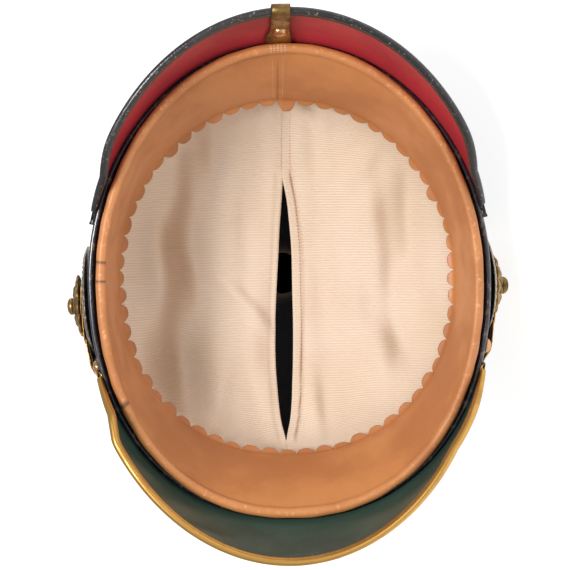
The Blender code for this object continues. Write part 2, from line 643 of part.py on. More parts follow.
def resting_side(cloud, centre):
    """Direction that faces the ground: the hull's face under the centre of mass on the side it lies on."""
    work = bmesh.new()
    for point in cloud:
        work.verts.new(tuple(point))
    bmesh.ops.convex_hull(work, input=work.verts)
    wanted = Vector(LYING_TOWARDS).normalized()
    best = None
    for face in work.faces:
        face.normal_update()
        normal = face.normal.copy()
        corners = [vertex.co.copy() for vertex in face.verts]
        if normal.dot(corners[0] - Vector(centre)) < 0:
            normal.negate()
            corners.reverse()
        foot = Vector(centre) + normal * normal.dot(corners[0] - Vector(centre))
        sides = [normal.dot((corners[place] - corners[place - 1]).cross(foot - corners[place - 1]))
                 for place in range(len(corners))]
        if min(sides) >= 0 and (best is None or normal.dot(wanted) > best.dot(wanted)):
            best = normal
    work.free()
    return best


def lay_down(pieces, carrier):
    """Turn the helmet so that it rests on its right side, and put its box's bottom centre at the origin."""
    cloud = np.concatenate([[tuple(vertex.co) for vertex in piece.data.vertices] for piece in pieces])
    moments = [solid_moment(piece.data) for piece in pieces]
    centre = sum(moment for _, moment in moments) / sum(volume for volume, _ in moments)
    up = -resting_side(cloud, centre)
    opening = Vector((0, 0, -1))
    forward = (opening - up * opening.dot(up)).normalized()
    turned = Matrix((up.cross(forward), -forward, up))
    placed = cloud @ np.array(turned).T
    low = placed.min(axis=0)
    high = placed.max(axis=0)
    carrier.matrix_world = Matrix.Translation((-(low[0] + high[0]) / 2, -(low[1] + high[1]) / 2, -low[2])) \
        @ turned.to_4x4()
    for piece in pieces:
        piece.parent = carrier


def main():
    for thing in list(bpy.data.objects):
        bpy.data.objects.remove(thing, do_unlink=True)
    materials = {
        "blue_black_lacquer": make_material("blue_black_lacquer", (0.012, 0.013, 0.020), 0.25),
        "green_leather": make_material("green_leather", (0.030, 0.065, 0.052), 0.45),
        "red_leather": make_material("red_leather", (0.42, 0.025, 0.035), 0.55),
        "black_leather": make_material("black_leather", (0.010, 0.010, 0.012), 0.40),
        "tan_leather": make_material("tan_leather", (0.70, 0.30, 0.11), 0.50),
        "ribbed_silk": make_material("ribbed_silk", (0.85, 0.70, 0.53), 0.60),
        "brass": make_material("brass", (0.72, 0.42, 0.10), 0.28, 1.0),
        "silver": make_material("silver", (0.55, 0.50, 0.42), 0.35, 1.0),
    }
    pieces = [build_shell(materials["blue_black_lacquer"]), build_sweatband(materials["tan_leather"])]
    pieces += build_brims(materials)
    pieces += build_spine(materials)
    pieces += build_base(materials)
    pieces += build_spike(materials)
    for name, side in (("left", 1), ("right", -1)):
        pieces.append(build_lining("lining_" + name, side, materials["ribbed_silk"]))
        pieces += build_fittings(name, side, materials)
        pieces.append(build_chin_scales(name, side, materials["brass"]))
    carrier = bpy.data.objects.new("lying_helmet", None)
    bpy.context.scene.collection.objects.link(carrier)
    lay_down(pieces, carrier)


main()
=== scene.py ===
# %% [markdown]
# # Spiked leather helmet, lying on its right side
# The object is an officer's helmet of lacquered leather with brass fittings, seen from below into its
# opening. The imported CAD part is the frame: it has the right sizes and places, but plain solids. They
# could be given materials as they are, but folds, scallops and stitches need finer meshes. So every
# piece below is modelled anew as the helmet is worn, in metres (+X the wearer's left, -Y the front,
# +Z up, origin at the centre of the rim), and then placed on the frame, where it stands for its CAD
# node.

import math

import bpy
import numpy as np
from mathutils import Matrix


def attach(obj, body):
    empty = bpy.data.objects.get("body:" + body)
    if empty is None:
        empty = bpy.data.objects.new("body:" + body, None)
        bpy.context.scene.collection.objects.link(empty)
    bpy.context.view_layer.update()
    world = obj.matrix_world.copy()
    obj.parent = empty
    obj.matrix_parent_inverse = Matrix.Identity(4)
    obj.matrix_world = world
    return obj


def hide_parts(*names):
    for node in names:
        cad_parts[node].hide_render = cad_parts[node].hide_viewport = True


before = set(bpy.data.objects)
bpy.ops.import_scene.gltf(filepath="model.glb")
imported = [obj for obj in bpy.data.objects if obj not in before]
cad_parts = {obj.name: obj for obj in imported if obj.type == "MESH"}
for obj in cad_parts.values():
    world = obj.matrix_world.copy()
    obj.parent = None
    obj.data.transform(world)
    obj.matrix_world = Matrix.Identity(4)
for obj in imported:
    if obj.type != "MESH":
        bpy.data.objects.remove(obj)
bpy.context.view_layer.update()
bpy.context.scene.view_settings.view_transform = "Standard"

# %% [markdown]
# ## The worn axes
# A helmet is easy to describe upright, as it is worn, but here it lies on its side. One could model it
# lying and fight with every angle, or model it upright in a scene of its own and turn it by hand.
# Here the upright axes are worked out from the CAD nodes: the spike and its collar give the upward
# axis, the two cockades the sideways one, and the shell's lowest ring the level of the rim. Each piece
# is then written with plain upright numbers and laid on its node by one matrix, so nothing is turned
# by eye and nothing can drift off the frame.


# %% Axes and sizes, read from the CAD nodes
def unit(vectors):
    """Vectors divided by their lengths, along the last axis."""
    vectors = np.asarray(vectors, float)
    return vectors / np.maximum(np.linalg.norm(vectors, axis=-1, keepdims=True), 1e-12)


def node_points(name):
    """The different vertices of a CAD node, in the row frame."""
    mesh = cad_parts[name].data
    points = np.empty(len(mesh.vertices) * 3)
    mesh.vertices.foreach_get("co", points)
    return np.unique(points.reshape(-1, 3).round(7), axis=0)


def worn_axes():
    """Matrix whose columns are the worn axes, and the rim's centre, both in the row frame."""
    tip = node_points("spike").mean(axis=0)
    up = unit(tip - node_points("spike_collar").mean(axis=0))
    left = node_points("cockade_left").mean(axis=0) - node_points("cockade_right").mean(axis=0)
    left = unit(left - up * (left @ up))
    axes = np.array([left, np.cross(up, left), up]).T
    rim_level = (node_points("shell") @ axes)[:, 2].min()
    centre = tip @ axes
    centre[2] = rim_level
    return axes, axes @ centre


AXES, RIM_CENTRE = worn_axes()


def to_row(points):
    """Worn points turned by the worn axes and moved to the rim's centre, in the row frame."""
    return np.asarray(points) @ AXES.T + RIM_CENTRE


def worn_box(name):
    """Lowest and highest worn coordinates of a CAD node."""
    points = (node_points(name) - RIM_CENTRE) @ AXES
    return points.min(axis=0), points.max(axis=0)


SHELL_LOW, SHELL_HIGH = worn_box("shell")
SHELL_HALF_WIDTH = (SHELL_HIGH[0] - SHELL_LOW[0]) / 2
SHELL_HALF_LENGTH = (SHELL_HIGH[1] - SHELL_LOW[1]) / 2
SHELL_HEIGHT = 0.124
GAP = 0.0003
print("rim centre", RIM_CENTRE.round(5), "half width", SHELL_HALF_WIDTH.round(5))

# %% [markdown]
# ## Meshes from grids
# Leather, brass and silk are bent sheets and turned parts. They could be built from Blender's
# primitives with modifiers, or sculpted. Here each surface is a numpy grid of points, because a grid
# follows a formula exactly and gives an even flat map. A swept shape has closed sections one after the
# other, a turned one is a profile spun round an axis, and a thin sheet is two faces joined at their
# border. Each shape carries a flat map in metres and named masks, one value a point, which tell the
# materials where an edge is rubbed or a hollow is dark. All of them are closed, so they have a real
# thickness wherever an edge shows.


# %% Shapes and their meshes
class Shape:
    """Worn points with quads, triangles, a flat map in metres and masks, one value a point."""

    def __init__(self, points, quads, triangles=None, flat=None, masks=None):
        self.points = np.asarray(points, float).reshape(-1, 3)
        self.quads = np.asarray(quads, int).reshape(-1, 4)
        self.triangles = np.asarray(np.zeros((0, 3)) if triangles is None else triangles, int).reshape(-1, 3)
        self.flat = np.asarray(self.points[:, :2] if flat is None else flat, float).reshape(-1, 2)
        self.masks = {key: np.asarray(value, float).ravel() for key, value in (masks or {}).items()}

    def outward(self):
        """Faces turned so that the volume that their triangles span with the origin is positive."""
        corners = np.concatenate([self.quads[:, :3], self.quads[:, [0, 2, 3]], self.triangles])
        first, second, third = (self.points[corners[:, place]] for place in range(3))
        if np.sum(first * np.cross(second, third)) < 0:
            self.quads = self.quads[:, ::-1]
            self.triangles = self.triangles[:, ::-1]
        return self


# %% Grids
def grid_quads(rows, columns, wrap_rows=False, wrap_columns=False):
    """Corner numbers of a grid's quads, with its points numbered row by row."""
    row = np.arange(rows if wrap_rows else rows - 1)[:, None]
    column = np.arange(columns if wrap_columns else columns - 1)[None, :]
    above = (row + 1) % rows
    right = (column + 1) % columns
    corners = [row * columns + column, row * columns + right,
               above * columns + right, above * columns + column]
    return np.stack(np.broadcast_arrays(*corners), axis=-1).reshape(-1, 4)


def arc_lengths(grid, axis):
    """Running length along an axis of a grid of points: the sum of the steps so far."""
    steps = np.linalg.norm(np.diff(grid, axis=axis), axis=-1)
    start = np.zeros_like(np.take(steps, [0], axis=axis))
    return np.concatenate([start, np.cumsum(steps, axis=axis)], axis=axis)


def same_round(values, count):
    """A mask for swept shapes: one value for each point of a section, the same on count sections."""
    return np.tile(np.asarray(values, float), (count, 1))


# %% Swept shapes
def swept(sections, wrap=False, masks=None):
    """Closed sections down the rows; a cap of quads joins opposite points of a section at each open end."""
    rows, columns, _ = sections.shape
    quads = [grid_quads(rows, columns, wrap_rows=wrap, wrap_columns=True)]
    if not wrap:
        place = np.arange(columns // 2 - 1)
        cap = np.stack([place, place + 1, columns - 2 - place, columns - 1 - place], axis=-1)
        quads += [cap, (rows - 1) * columns + cap[:, ::-1]]
    flat = np.stack([arc_lengths(sections, 0), arc_lengths(sections, 1)], axis=-1)
    return Shape(sections, np.concatenate(quads), None, flat, masks).outward()


# %% Turned shapes
def turned(profile, sides, place=None, ripple=None, masks=None):
    """A profile of (radius, height) pairs, from the axis back to the axis, spun round +Z of a frame.

    ripple(radius, angle, height) gives a radius and height with petals or flutes in them.
    """
    profile = np.asarray(profile, float)
    angle = np.linspace(0, 2 * math.pi, sides, endpoint=False)[None, :]
    radius = np.repeat(profile[1:-1, :1], sides, axis=1)
    height = np.repeat(profile[1:-1, 1:2], sides, axis=1)
    if ripple is not None:
        radius, height = ripple(radius, angle, height)
    rings = polar(radius, angle, height)
    ends = np.array([[0, 0, profile[0, 1]], [0, 0, profile[-1, 1]]])
    points = np.concatenate([rings.reshape(-1, 3), ends])
    count = rings.shape[0] * sides
    side = np.arange(sides)
    following = (side + 1) % sides
    first = np.stack([np.full(sides, count), following, side], axis=-1)
    last = np.stack([np.full(sides, count + 1), count - sides + side, count - sides + following], axis=-1)
    flat = np.stack([radius * angle, np.broadcast_to(height, radius.shape)], axis=-1).reshape(-1, 2)
    flat = np.concatenate([flat, np.zeros((2, 2))])
    made = {}
    for key, value in (masks or {}).items():
        value = np.repeat(np.asarray(value, float)[:, None], sides, axis=1)
        made[key] = np.concatenate([value[1:-1].ravel(), value[[0, -1], 0]])
    if place is not None:
        points = points @ place[:3, :3].T + place[:3, 3]
    quads = grid_quads(rings.shape[0], sides, wrap_columns=True)
    return Shape(points, quads, np.concatenate([first, last]), flat, made).outward()


def ball(centre, radius, sides=12):
    """A small closed ball on a point."""
    bend = np.linspace(-math.pi / 2, math.pi / 2, 8)
    profile = np.stack([radius * np.cos(bend), radius * np.sin(bend)], axis=1)
    place = np.eye(4)
    place[:3, 3] = centre
    return turned(profile, sides, place)


# %% Stitches, thin sheets, and several shapes as one
def stitches(line, outward, pitch, length, radius, turn=0.0):
    """Short oval stitches laid along a line and turned from it by an angle."""
    run = arc_lengths(line, 0)
    made = []
    for start in np.arange(0.4 * pitch, run[-1], pitch):
        centre, ahead = (np.array([np.interp(place, run, line[:, axis]) for axis in range(3)])
                         for place in (start, start + 0.0006))
        along = unit(ahead - centre)
        along = along * math.cos(turn) + np.cross(outward, along) * math.sin(turn)
        aside = np.cross(outward, along)
        thread = ball((0, 0, 0), 1.0, 8)
        local = thread.points
        thread.points = (centre + radius * local[:, :1] * aside + radius * local[:, 1:2] * outward
                         + 0.5 * length * local[:, 2:] * along)
        made.append(thread.outward())
    return made


def closed_sheet(under, over, flat, masks):
    """A thin closed sheet from its two faces, grids of one size, joined by quads round their border."""
    rows, columns, _ = under.shape
    count = rows * columns
    face = grid_quads(rows, columns)
    border = np.concatenate([np.arange(columns), np.arange(2 * columns - 1, count, columns),
                             np.arange(count - 2, count - columns - 1, -1),
                             np.arange(count - 2 * columns, 0, -columns)])
    following = np.roll(border, -1)
    side = np.stack([following, border, border + count, following + count], axis=-1)
    return Shape(np.concatenate([under.reshape(-1, 3), over.reshape(-1, 3)]),
                 np.concatenate([face, count + face[:, ::-1], side]), None,
                 np.concatenate([flat.reshape(-1, 2)] * 2), masks).outward()


def joined(shapes):
    """Several shapes as one."""
    starts = np.cumsum([0] + [len(shape.points) for shape in shapes[:-1]])
    keys = sorted({key for shape in shapes for key in shape.masks})
    masks = {key: np.concatenate([shape.masks.get(key, np.zeros(len(shape.points))) for shape in shapes])
             for key in keys}
    return Shape(np.concatenate([shape.points for shape in shapes]),
                 np.concatenate([shape.quads + start for shape, start in zip(shapes, starts)]),
                 np.concatenate([shape.triangles + start for shape, start in zip(shapes, starts)]),
                 np.concatenate([shape.flat for shape in shapes]), masks)


# %% A piece on the frame
def add_piece(name, shape, material, stands_for=()):
    """The shape as a smooth mesh on the frame, riding on the helmet."""
    mesh = bpy.data.meshes.new(name)
    faces = shape.quads.tolist() + shape.triangles.tolist()
    mesh.from_pydata(to_row(shape.points).tolist(), [], faces)
    mesh.shade_smooth()
    corners = np.concatenate([shape.quads.ravel(), shape.triangles.ravel()])
    layer = mesh.uv_layers.new(name="flat")
    layer.data.foreach_set("uv", shape.flat[corners].astype(np.float32).ravel())
    for key, value in shape.masks.items():
        attribute = mesh.attributes.new(key, "FLOAT", "POINT")
        attribute.data.foreach_set("value", value.astype(np.float32))
    mesh.materials.append(material)
    piece = bpy.data.objects.new(name, mesh)
    bpy.context.scene.collection.objects.link(piece)
    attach(piece, "root")
    if stands_for:
        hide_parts(*stands_for)
    low, high = shape.points.min(axis=0), shape.points.max(axis=0)
    note = ""
    if len(stands_for) == 1:
        cad_low, cad_high = worn_box(stands_for[0])
        beyond = max((cad_low - low).max(), (high - cad_high).max())
        note = "beyond its node by %.1f mm" % (1000 * beyond)
    print(name, len(mesh.polygons), "faces", (1000 * (high - low)).round(1), "mm", note)
    return piece


# %% [markdown]
# ## The shell's form
# The real bowl was pressed from wet leather over a wooden form, so it is one smooth shape, oval from
# above and full at the shoulders. A scaled sphere would be too pointed at the shoulders. The plan here
# is half a superellipse in front and half an ellipse behind, and every upright section is a
# superellipse, as in the CAD part. Everything that lies on the shell, such as the spine, the brims'
# flanges and the base plate, asks the same formula where the shell is, so the pieces meet without gaps.


# %% Formulas shared with the CAD part
CROWN_POWER = 2.3


def polar(radius, angle, height):
    """Point at a radius, an angle measured from the wearer's left towards the rear, and a height."""
    return np.stack(np.broadcast_arrays(radius * np.cos(angle), radius * np.sin(angle), height), axis=-1)


def plan_radius(angle, half_width, front, rear):
    """Reach of a superellipse: across and along, each divided by its half size, to a power, add up to one.

    The power is 2.2 in front, where the outline is squarer, and 2 behind.
    """
    across = np.abs(np.cos(angle)) / half_width
    along = np.abs(np.sin(angle)) / np.where(np.sin(angle) < 0, front, rear)
    power = np.where(np.sin(angle) < 0, 2.2, 2.0)
    return (across ** power + along ** power) ** (-1 / power)


def shell_plan(angle, inset=0.0):
    """Reach of the rim, drawn in by inset."""
    length = SHELL_HALF_LENGTH - inset
    return plan_radius(angle, SHELL_HALF_WIDTH - inset, length, length)


def shell_radius(angle, height, inset=0.0):
    """Radius at a height: radius over reach and height over full height, each to 2.3, add up to one."""
    share = np.clip(height / (SHELL_HEIGHT - inset), 0, 1)
    return shell_plan(angle, inset) * (1 - share ** CROWN_POWER) ** (1 / CROWN_POWER)


def shell_height(angle, radius, inset=0.0):
    """Height at a radius, from the same sum of powers."""
    share = np.clip(radius / shell_plan(angle, inset), 0, 1)
    return (SHELL_HEIGHT - inset) * (1 - share ** CROWN_POWER) ** (1 / CROWN_POWER)


# %% Frames on the shell, and soft curves
def surface_normals(grid):
    """Normals of a grid of points, rows by columns."""
    return unit(np.cross(np.gradient(grid, axis=1), np.gradient(grid, axis=0)))


def frame_on(origin, normal, upward=(0.0, 0.0, 1.0)):
    """4 x 4 matrix with its +Z along a normal and its origin on a point."""
    along = unit(normal)
    across = unit(np.cross(upward, along))
    place = np.eye(4)
    place[:3, :3] = np.stack([across, np.cross(along, across), along], axis=1)
    place[:3, 3] = origin
    return place


def shell_frame(angle, height):
    """Frame on the shell's outer face, its +Z along the shell's normal."""
    turn = np.array([[angle - 0.01, angle, angle + 0.01]])
    level = height + np.array([[-0.001], [0.0], [0.001]])
    patch = polar(shell_radius(turn, level), turn, level)
    normal = surface_normals(patch)[1, 1]
    normal = normal * np.sign(normal[:2] @ patch[1, 1, :2])
    return frame_on(patch[1, 1], normal)


def raised(place, lift):
    """The frame moved along its own +Z."""
    moved = place.copy()
    moved[:3, 3] += lift * place[:3, 2]
    return moved


def smoothstep(value):
    """A smooth step from 0 to 1: three times the square less twice the cube, of a value clipped to 0..1."""
    value = np.clip(value, 0, 1)
    return value * value * (3 - 2 * value)


def bell(value, centre, width):
    """A smooth bump of height one at a centre, down to 0.37 at one width from it."""
    return np.exp(-((value - centre) / width) ** 2)


def ripples(first, second, seed, size):
    """A soft uneven field between about -1 and 1: six sine waves near one size, in random directions."""
    dice = np.random.default_rng(seed)
    total = 0
    for _ in range(6):
        turn = dice.uniform(0, 2 * math.pi)
        wave = 2 * math.pi / (size * dice.uniform(0.7, 1.5))
        along = first * math.cos(turn) + second * math.sin(turn)
        total = total + np.sin(wave * along + dice.uniform(0, 6.3))
    return total / 3


# %% [markdown]
# ## Materials
# The real surfaces are old: tan leather with rubbed edges, black lacquer over leather, dyed leather
# under the brims, ribbed silk, and brass under a brown film. Photographs could be wrapped round each
# piece, but they carry their own light and blur close up. Procedural nodes stay sharp and follow the
# form. Three effects are shared node groups: leather grain, worn edges and tarnish. All of them work
# in object coordinates or on the masks, so wear falls on real edges and tarnish into real hollows. Two
# masks also paint shade into creases, gaps and hidden faces. Each material then needs only two close
# tones, a roughness, a scale and a depth.


# %% Node helpers
def add_node(tree, kind, values=None, **settings):
    """A node with its settings, and its inputs filled from values or linked from sockets."""
    made = tree.nodes.new(kind)
    for key, value in settings.items():
        setattr(made, key, value)
    for key, value in (values or {}).items():
        if isinstance(value, bpy.types.NodeSocket):
            tree.links.new(value, made.inputs[key])
        else:
            made.inputs[key].default_value = value
    return made


def math_node(tree, operation, first, second=0.0, clamp=False):
    """The result of a sum, product or other operation on two values, as a socket."""
    values = {0: first, 1: second}
    return add_node(tree, "ShaderNodeMath", values, operation=operation, use_clamp=clamp).outputs[0]


def ranged(tree, value, low, high, to_low=0.0, to_high=1.0):
    """A value taken smoothly from one range to another, and clipped at its ends."""
    values = {"Value": value, "From Min": low, "From Max": high, "To Min": to_low, "To Max": to_high}
    made = add_node(tree, "ShaderNodeMapRange", values, interpolation_type="SMOOTHSTEP")
    return made.outputs["Result"]


def noise_value(tree, place, scale, detail, roughness=0.5):
    """The grey value of a noise texture in object coordinates."""
    values = {"Vector": place, "Scale": scale, "Detail": detail, "Roughness": roughness}
    return add_node(tree, "ShaderNodeTexNoise", values).outputs["Fac"]


def blended(tree, share, first, second, mode="MIX"):
    """Colour mix: first at share 0 and second at share 1."""
    made = tree.nodes.new("ShaderNodeMix")
    made.data_type = "RGBA"
    made.blend_type = mode
    for socket, value in ((made.inputs[0], share), (made.inputs[6], first), (made.inputs[7], second)):
        if isinstance(value, bpy.types.NodeSocket):
            tree.links.new(value, socket)
        else:
            socket.default_value = value
    return made.outputs[2]


def new_group(name, inputs, outputs):
    """A node group with named sockets: inputs (name, kind, default) and outputs (name, kind)."""
    tree = bpy.data.node_groups.new(name, "ShaderNodeTree")
    for label, kind, default in inputs:
        socket = tree.interface.new_socket(label, in_out="INPUT", socket_type="NodeSocket" + kind)
        if default is not None:
            socket.default_value = default
    for label, kind in outputs:
        tree.interface.new_socket(label, in_out="OUTPUT", socket_type="NodeSocket" + kind)
    return tree, tree.nodes.new("NodeGroupInput"), tree.nodes.new("NodeGroupOutput")


def use_group(tree, group, values):
    """A node that holds a group, its inputs filled."""
    made = tree.nodes.new("ShaderNodeGroup")
    made.node_tree = group
    for key, value in values.items():
        if isinstance(value, bpy.types.NodeSocket):
            tree.links.new(value, made.inputs[key])
        else:
            made.inputs[key].default_value = value
    return made


# %% Three shared effects
def grain_group():
    """Height of pebbled leather, and a slow blotch mask."""
    tree, given, out = new_group(
        "leather_grain",
        [("Vector", "Vector", None), ("Pebbles", "Float", 900.0), ("Blotches", "Float", 25.0)],
        [("Height", "Float"), ("Blotch", "Float")])
    place, pebbles, blotches = given.outputs[0], given.outputs[1], given.outputs[2]
    cells = add_node(tree, "ShaderNodeTexVoronoi", {"Vector": place, "Scale": pebbles},
                     feature="DISTANCE_TO_EDGE")
    pebble = ranged(tree, cells.outputs["Distance"], 0.0, 0.25)
    fine = noise_value(tree, place, pebbles, 5.0, 0.6)
    slow = noise_value(tree, place, blotches, 4.0, 0.55)
    height = math_node(tree, "ADD", math_node(tree, "MULTIPLY", pebble, 0.5), fine)
    tree.links.new(height, out.inputs["Height"])
    tree.links.new(ranged(tree, slow, 0.35, 0.65), out.inputs["Blotch"])
    return tree


def wear_group():
    """Where an edge is rubbed through: broken up by noise, and denser where the mask is high."""
    tree, given, out = new_group(
        "worn_edges",
        [("Vector", "Vector", None), ("Mask", "Float", 0.0), ("Size", "Float", 300.0),
         ("Amount", "Float", 0.5)],
        [("Wear", "Float")])
    place, mask, size, amount = given.outputs[0], given.outputs[1], given.outputs[2], given.outputs[3]
    noise = noise_value(tree, place, size, 6.0, 0.7)
    reach = math_node(tree, "MULTIPLY", mask, amount)
    over = math_node(tree, "ADD", noise, math_node(tree, "MULTIPLY", reach, 0.5))
    broken = ranged(tree, over, 0.70, 0.80)
    wear = math_node(tree, "MULTIPLY", broken, ranged(tree, mask, 0.0, 0.5))
    tree.links.new(wear, out.inputs["Wear"])
    return tree


def tarnish_group():
    """Old metal: a brown film that gathers in hollows, with brighter rubbed places."""
    tree, given, out = new_group(
        "tarnish",
        [("Vector", "Vector", None), ("Hollow", "Float", 0.0), ("Bright", "Color", (0.8, 0.5, 0.2, 1)),
         ("Dull", "Color", (0.2, 0.1, 0.04, 1)), ("Film", "Float", 0.4)],
        [("Color", "Color"), ("Roughness", "Float"), ("Height", "Float")])
    place, hollow, bright, dull, amount = [given.outputs[number] for number in range(5)]
    slow = noise_value(tree, place, 90.0, 6.0, 0.65)
    fine = noise_value(tree, place, 1400.0, 3.0, 0.6)
    film = math_node(tree, "MULTIPLY", ranged(tree, slow, 0.38, 0.68), amount)
    specks = math_node(tree, "MULTIPLY", ranged(tree, fine, 0.62, 0.72), 0.5)
    share = math_node(tree, "ADD", math_node(tree, "ADD", film, specks), hollow, clamp=True)
    tree.links.new(blended(tree, share, bright, dull), out.inputs["Color"])
    tree.links.new(ranged(tree, share, 0.0, 1.0, 0.22, 0.55), out.inputs["Roughness"])
    tree.links.new(fine, out.inputs["Height"])
    return tree


GRAIN, WEAR, TARNISH = grain_group(), wear_group(), tarnish_group()
print("groups", [group.name for group in bpy.data.node_groups])


# %% Leather, metal and silk
def new_material(name, constants=None):
    """A material with its tree, its main shader and an object-coordinate socket."""
    material = bpy.data.materials.new(name)
    material.use_nodes = True
    tree = material.node_tree
    shader = tree.nodes["Principled BSDF"]
    for key, value in (constants or {}).items():
        shader.inputs[key].default_value = value
    return material, tree, shader, add_node(tree, "ShaderNodeTexCoord").outputs["Object"]


def mask_socket(tree, name):
    """The value of a mask made with the mesh."""
    return add_node(tree, "ShaderNodeAttribute", attribute_name=name).outputs["Fac"]


def bump(tree, shader, height, distance):
    """Bump from a height, as deep as a distance in metres."""
    made = add_node(tree, "ShaderNodeBump", {"Height": height, "Distance": distance, "Strength": 1.0})
    tree.links.new(made.outputs["Normal"], shader.inputs["Normal"])


def leather(name, light, dark, roughness, pebbles, depth, coat=0.0, worn=None, worn_amount=0.6,
            wear_size=300.0):
    """Leather in two close tones, with pebbles, rubbed edges from the mask edge, and dark marks and painted
    shade from the mask cut.
    """
    material, tree, shader, place = new_material(name, {"Coat Weight": coat, "Coat Roughness": 0.12})
    grain = use_group(tree, GRAIN, {"Vector": place, "Pebbles": pebbles, "Blotches": 25.0})
    blotch = grain.outputs["Blotch"]
    colour = blended(tree, blotch, light, dark)
    if worn is not None:
        edge = mask_socket(tree, "edge")
        values = {"Vector": place, "Mask": edge, "Amount": worn_amount, "Size": wear_size}
        wear = use_group(tree, WEAR, values)
        colour = blended(tree, wear.outputs["Wear"], colour, worn)
    # The mask cut holds real dark marks, such as scratches and seam lines, and painted shade in creases, gaps
    # and hidden faces.
    shaded = tuple(0.30 * value for value in dark[:3]) + (1.0,)
    colour = blended(tree, mask_socket(tree, "cut"), colour, shaded)
    tree.links.new(colour, shader.inputs["Base Color"])
    rough = ranged(tree, blotch, 0.0, 1.0, roughness - 0.05, roughness + 0.07)
    tree.links.new(rough, shader.inputs["Roughness"])
    bump(tree, shader, grain.outputs["Height"], depth)
    return material


def metal(name, bright, dull, film, duller=0.0):
    """Old metal with a brown film, rougher by duller.

    The mask hollow marks what a cloth never reached, and a second mask marks hidden bores and undersides,
    painted near black as shade.
    """
    material, tree, shader, place = new_material(name, {"Metallic": 1.0})
    hollow = mask_socket(tree, "hollow")
    values = {"Vector": place, "Hollow": hollow, "Bright": bright, "Dull": dull, "Film": film}
    old = use_group(tree, TARNISH, values)
    # painted shade: hidden bores and undersides, seen only in shadow, are painted near black
    grime = mask_socket(tree, "grime")
    colour = blended(tree, grime, old.outputs["Color"], (0.012, 0.010, 0.009, 1))
    tree.links.new(colour, shader.inputs["Base Color"])
    rough = math_node(tree, "ADD", old.outputs["Roughness"], duller)
    rough = math_node(tree, "MAXIMUM", rough, math_node(tree, "MULTIPLY", grime, 0.7))
    tree.links.new(rough, shader.inputs["Roughness"])
    bump(tree, shader, old.outputs["Height"], 0.00002)
    return material


def silk():
    """Ribbed silk: ribs every 1.3 mm across the flat map with painted shade in their troughs, a fine weave,
    and darker seams and painted fold shade from the mask cut.
    """
    material, tree, shader, place = new_material(
        "ribbed_silk", {"Roughness": 0.62, "Sheen Weight": 0.25, "Sheen Roughness": 0.4})
    rib_pitch, thread_pitch = 0.0013, 0.00042
    flat = add_node(tree, "ShaderNodeUVMap", uv_map="flat").outputs["UV"]
    parts = add_node(tree, "ShaderNodeSeparateXYZ", {0: flat})
    drift = math_node(tree, "MULTIPLY", noise_value(tree, place, 40.0, 3.0), 1.6)
    turns = math_node(tree, "MULTIPLY", parts.outputs["X"], 2 * math.pi / rib_pitch)
    rib = math_node(tree, "SINE", math_node(tree, "ADD", turns, drift))
    threads = math_node(tree, "MULTIPLY", parts.outputs["Y"], 2 * math.pi / thread_pitch)
    warp = math_node(tree, "SINE", threads)
    height = math_node(tree, "MULTIPLY", rib, 0.5)
    for part, share in ((warp, 0.08), (noise_value(tree, place, 900.0, 4.0), 0.7)):
        height = math_node(tree, "ADD", height, math_node(tree, "MULTIPLY", part, share))
    slow = ranged(tree, noise_value(tree, place, 18.0, 3.0), 0.35, 0.7)
    colour = blended(tree, slow, (0.76, 0.65, 0.54, 1), (0.71, 0.59, 0.46, 1))
    # painted shade in the troughs between the ribs
    trough_shade = ranged(tree, rib, -1.0, 0.2, 0.48, 0.0)
    colour = blended(tree, trough_shade, colour, (0.58, 0.40, 0.24, 1))
    # mask cut: darker seams and stitch lines, and painted shade on the folds' slopes and behind the band
    colour = blended(tree, mask_socket(tree, "cut"), colour, (0.33, 0.19, 0.095, 1))
    tree.links.new(colour, shader.inputs["Base Color"])
    bump(tree, shader, height, 0.00012)
    return material


# %% The materials of this helmet
TAN = leather("tan_leather", (0.55, 0.220, 0.070, 1), (0.43, 0.158, 0.047, 1), 0.46, 700.0, 0.00006,
              worn=(0.66, 0.30, 0.13, 1), worn_amount=0.34, wear_size=420.0)
LACQUER = leather("lacquered_leather", (0.024, 0.027, 0.042, 1), (0.018, 0.019, 0.028, 1), 0.27, 260.0,
                  0.00005, coat=0.5, worn=(0.16, 0.12, 0.10, 1), worn_amount=0.35, wear_size=240.0)
GREEN = leather("green_leather", (0.036, 0.068, 0.052, 1), (0.026, 0.050, 0.040, 1), 0.36, 480.0, 0.00007,
                worn=(0.13, 0.15, 0.13, 1), worn_amount=0.5)
RED = leather("red_leather", (0.44, 0.030, 0.042, 1), (0.36, 0.020, 0.030, 1), 0.50, 800.0, 0.00005,
              worn=(0.20, 0.012, 0.018, 1), worn_amount=0.3)
BLACK = leather("black_leather", (0.012, 0.012, 0.014, 1), (0.020, 0.019, 0.019, 1), 0.34, 420.0, 0.00009,
                coat=0.25, worn=(0.30, 0.26, 0.22, 1), worn_amount=0.24, wear_size=700.0)
STRAP = leather("brown_strap_leather", (0.055, 0.028, 0.014, 1), (0.030, 0.016, 0.009, 1), 0.45, 600.0,
                0.00006)
BRASS = metal("gilt_brass", (0.62, 0.35, 0.085, 1), (0.30, 0.14, 0.030, 1), 0.50, 0.06)
TRIM_BRASS = metal("channel_brass", (0.60, 0.345, 0.095, 1), (0.40, 0.20, 0.050, 1), 0.50, 0.16)
COPPER = metal("copper_rivet", (0.62, 0.34, 0.17, 1), (0.30, 0.13, 0.055, 1), 0.50, 0.05)
OLD_BRASS = metal("toned_brass", (0.38, 0.235, 0.085, 1), (0.10, 0.058, 0.024, 1), 0.9, 0.08)
SILVER = metal("old_silver", (0.50, 0.44, 0.34, 1), (0.10, 0.075, 0.05, 1), 0.6)
SILK = silk()
THREAD = leather("pale_thread", (0.78, 0.62, 0.44, 1), (0.62, 0.46, 0.30, 1), 0.7, 1500.0, 0.00003)
print(len(bpy.data.materials), "materials,", len(bpy.data.node_groups), "node groups")

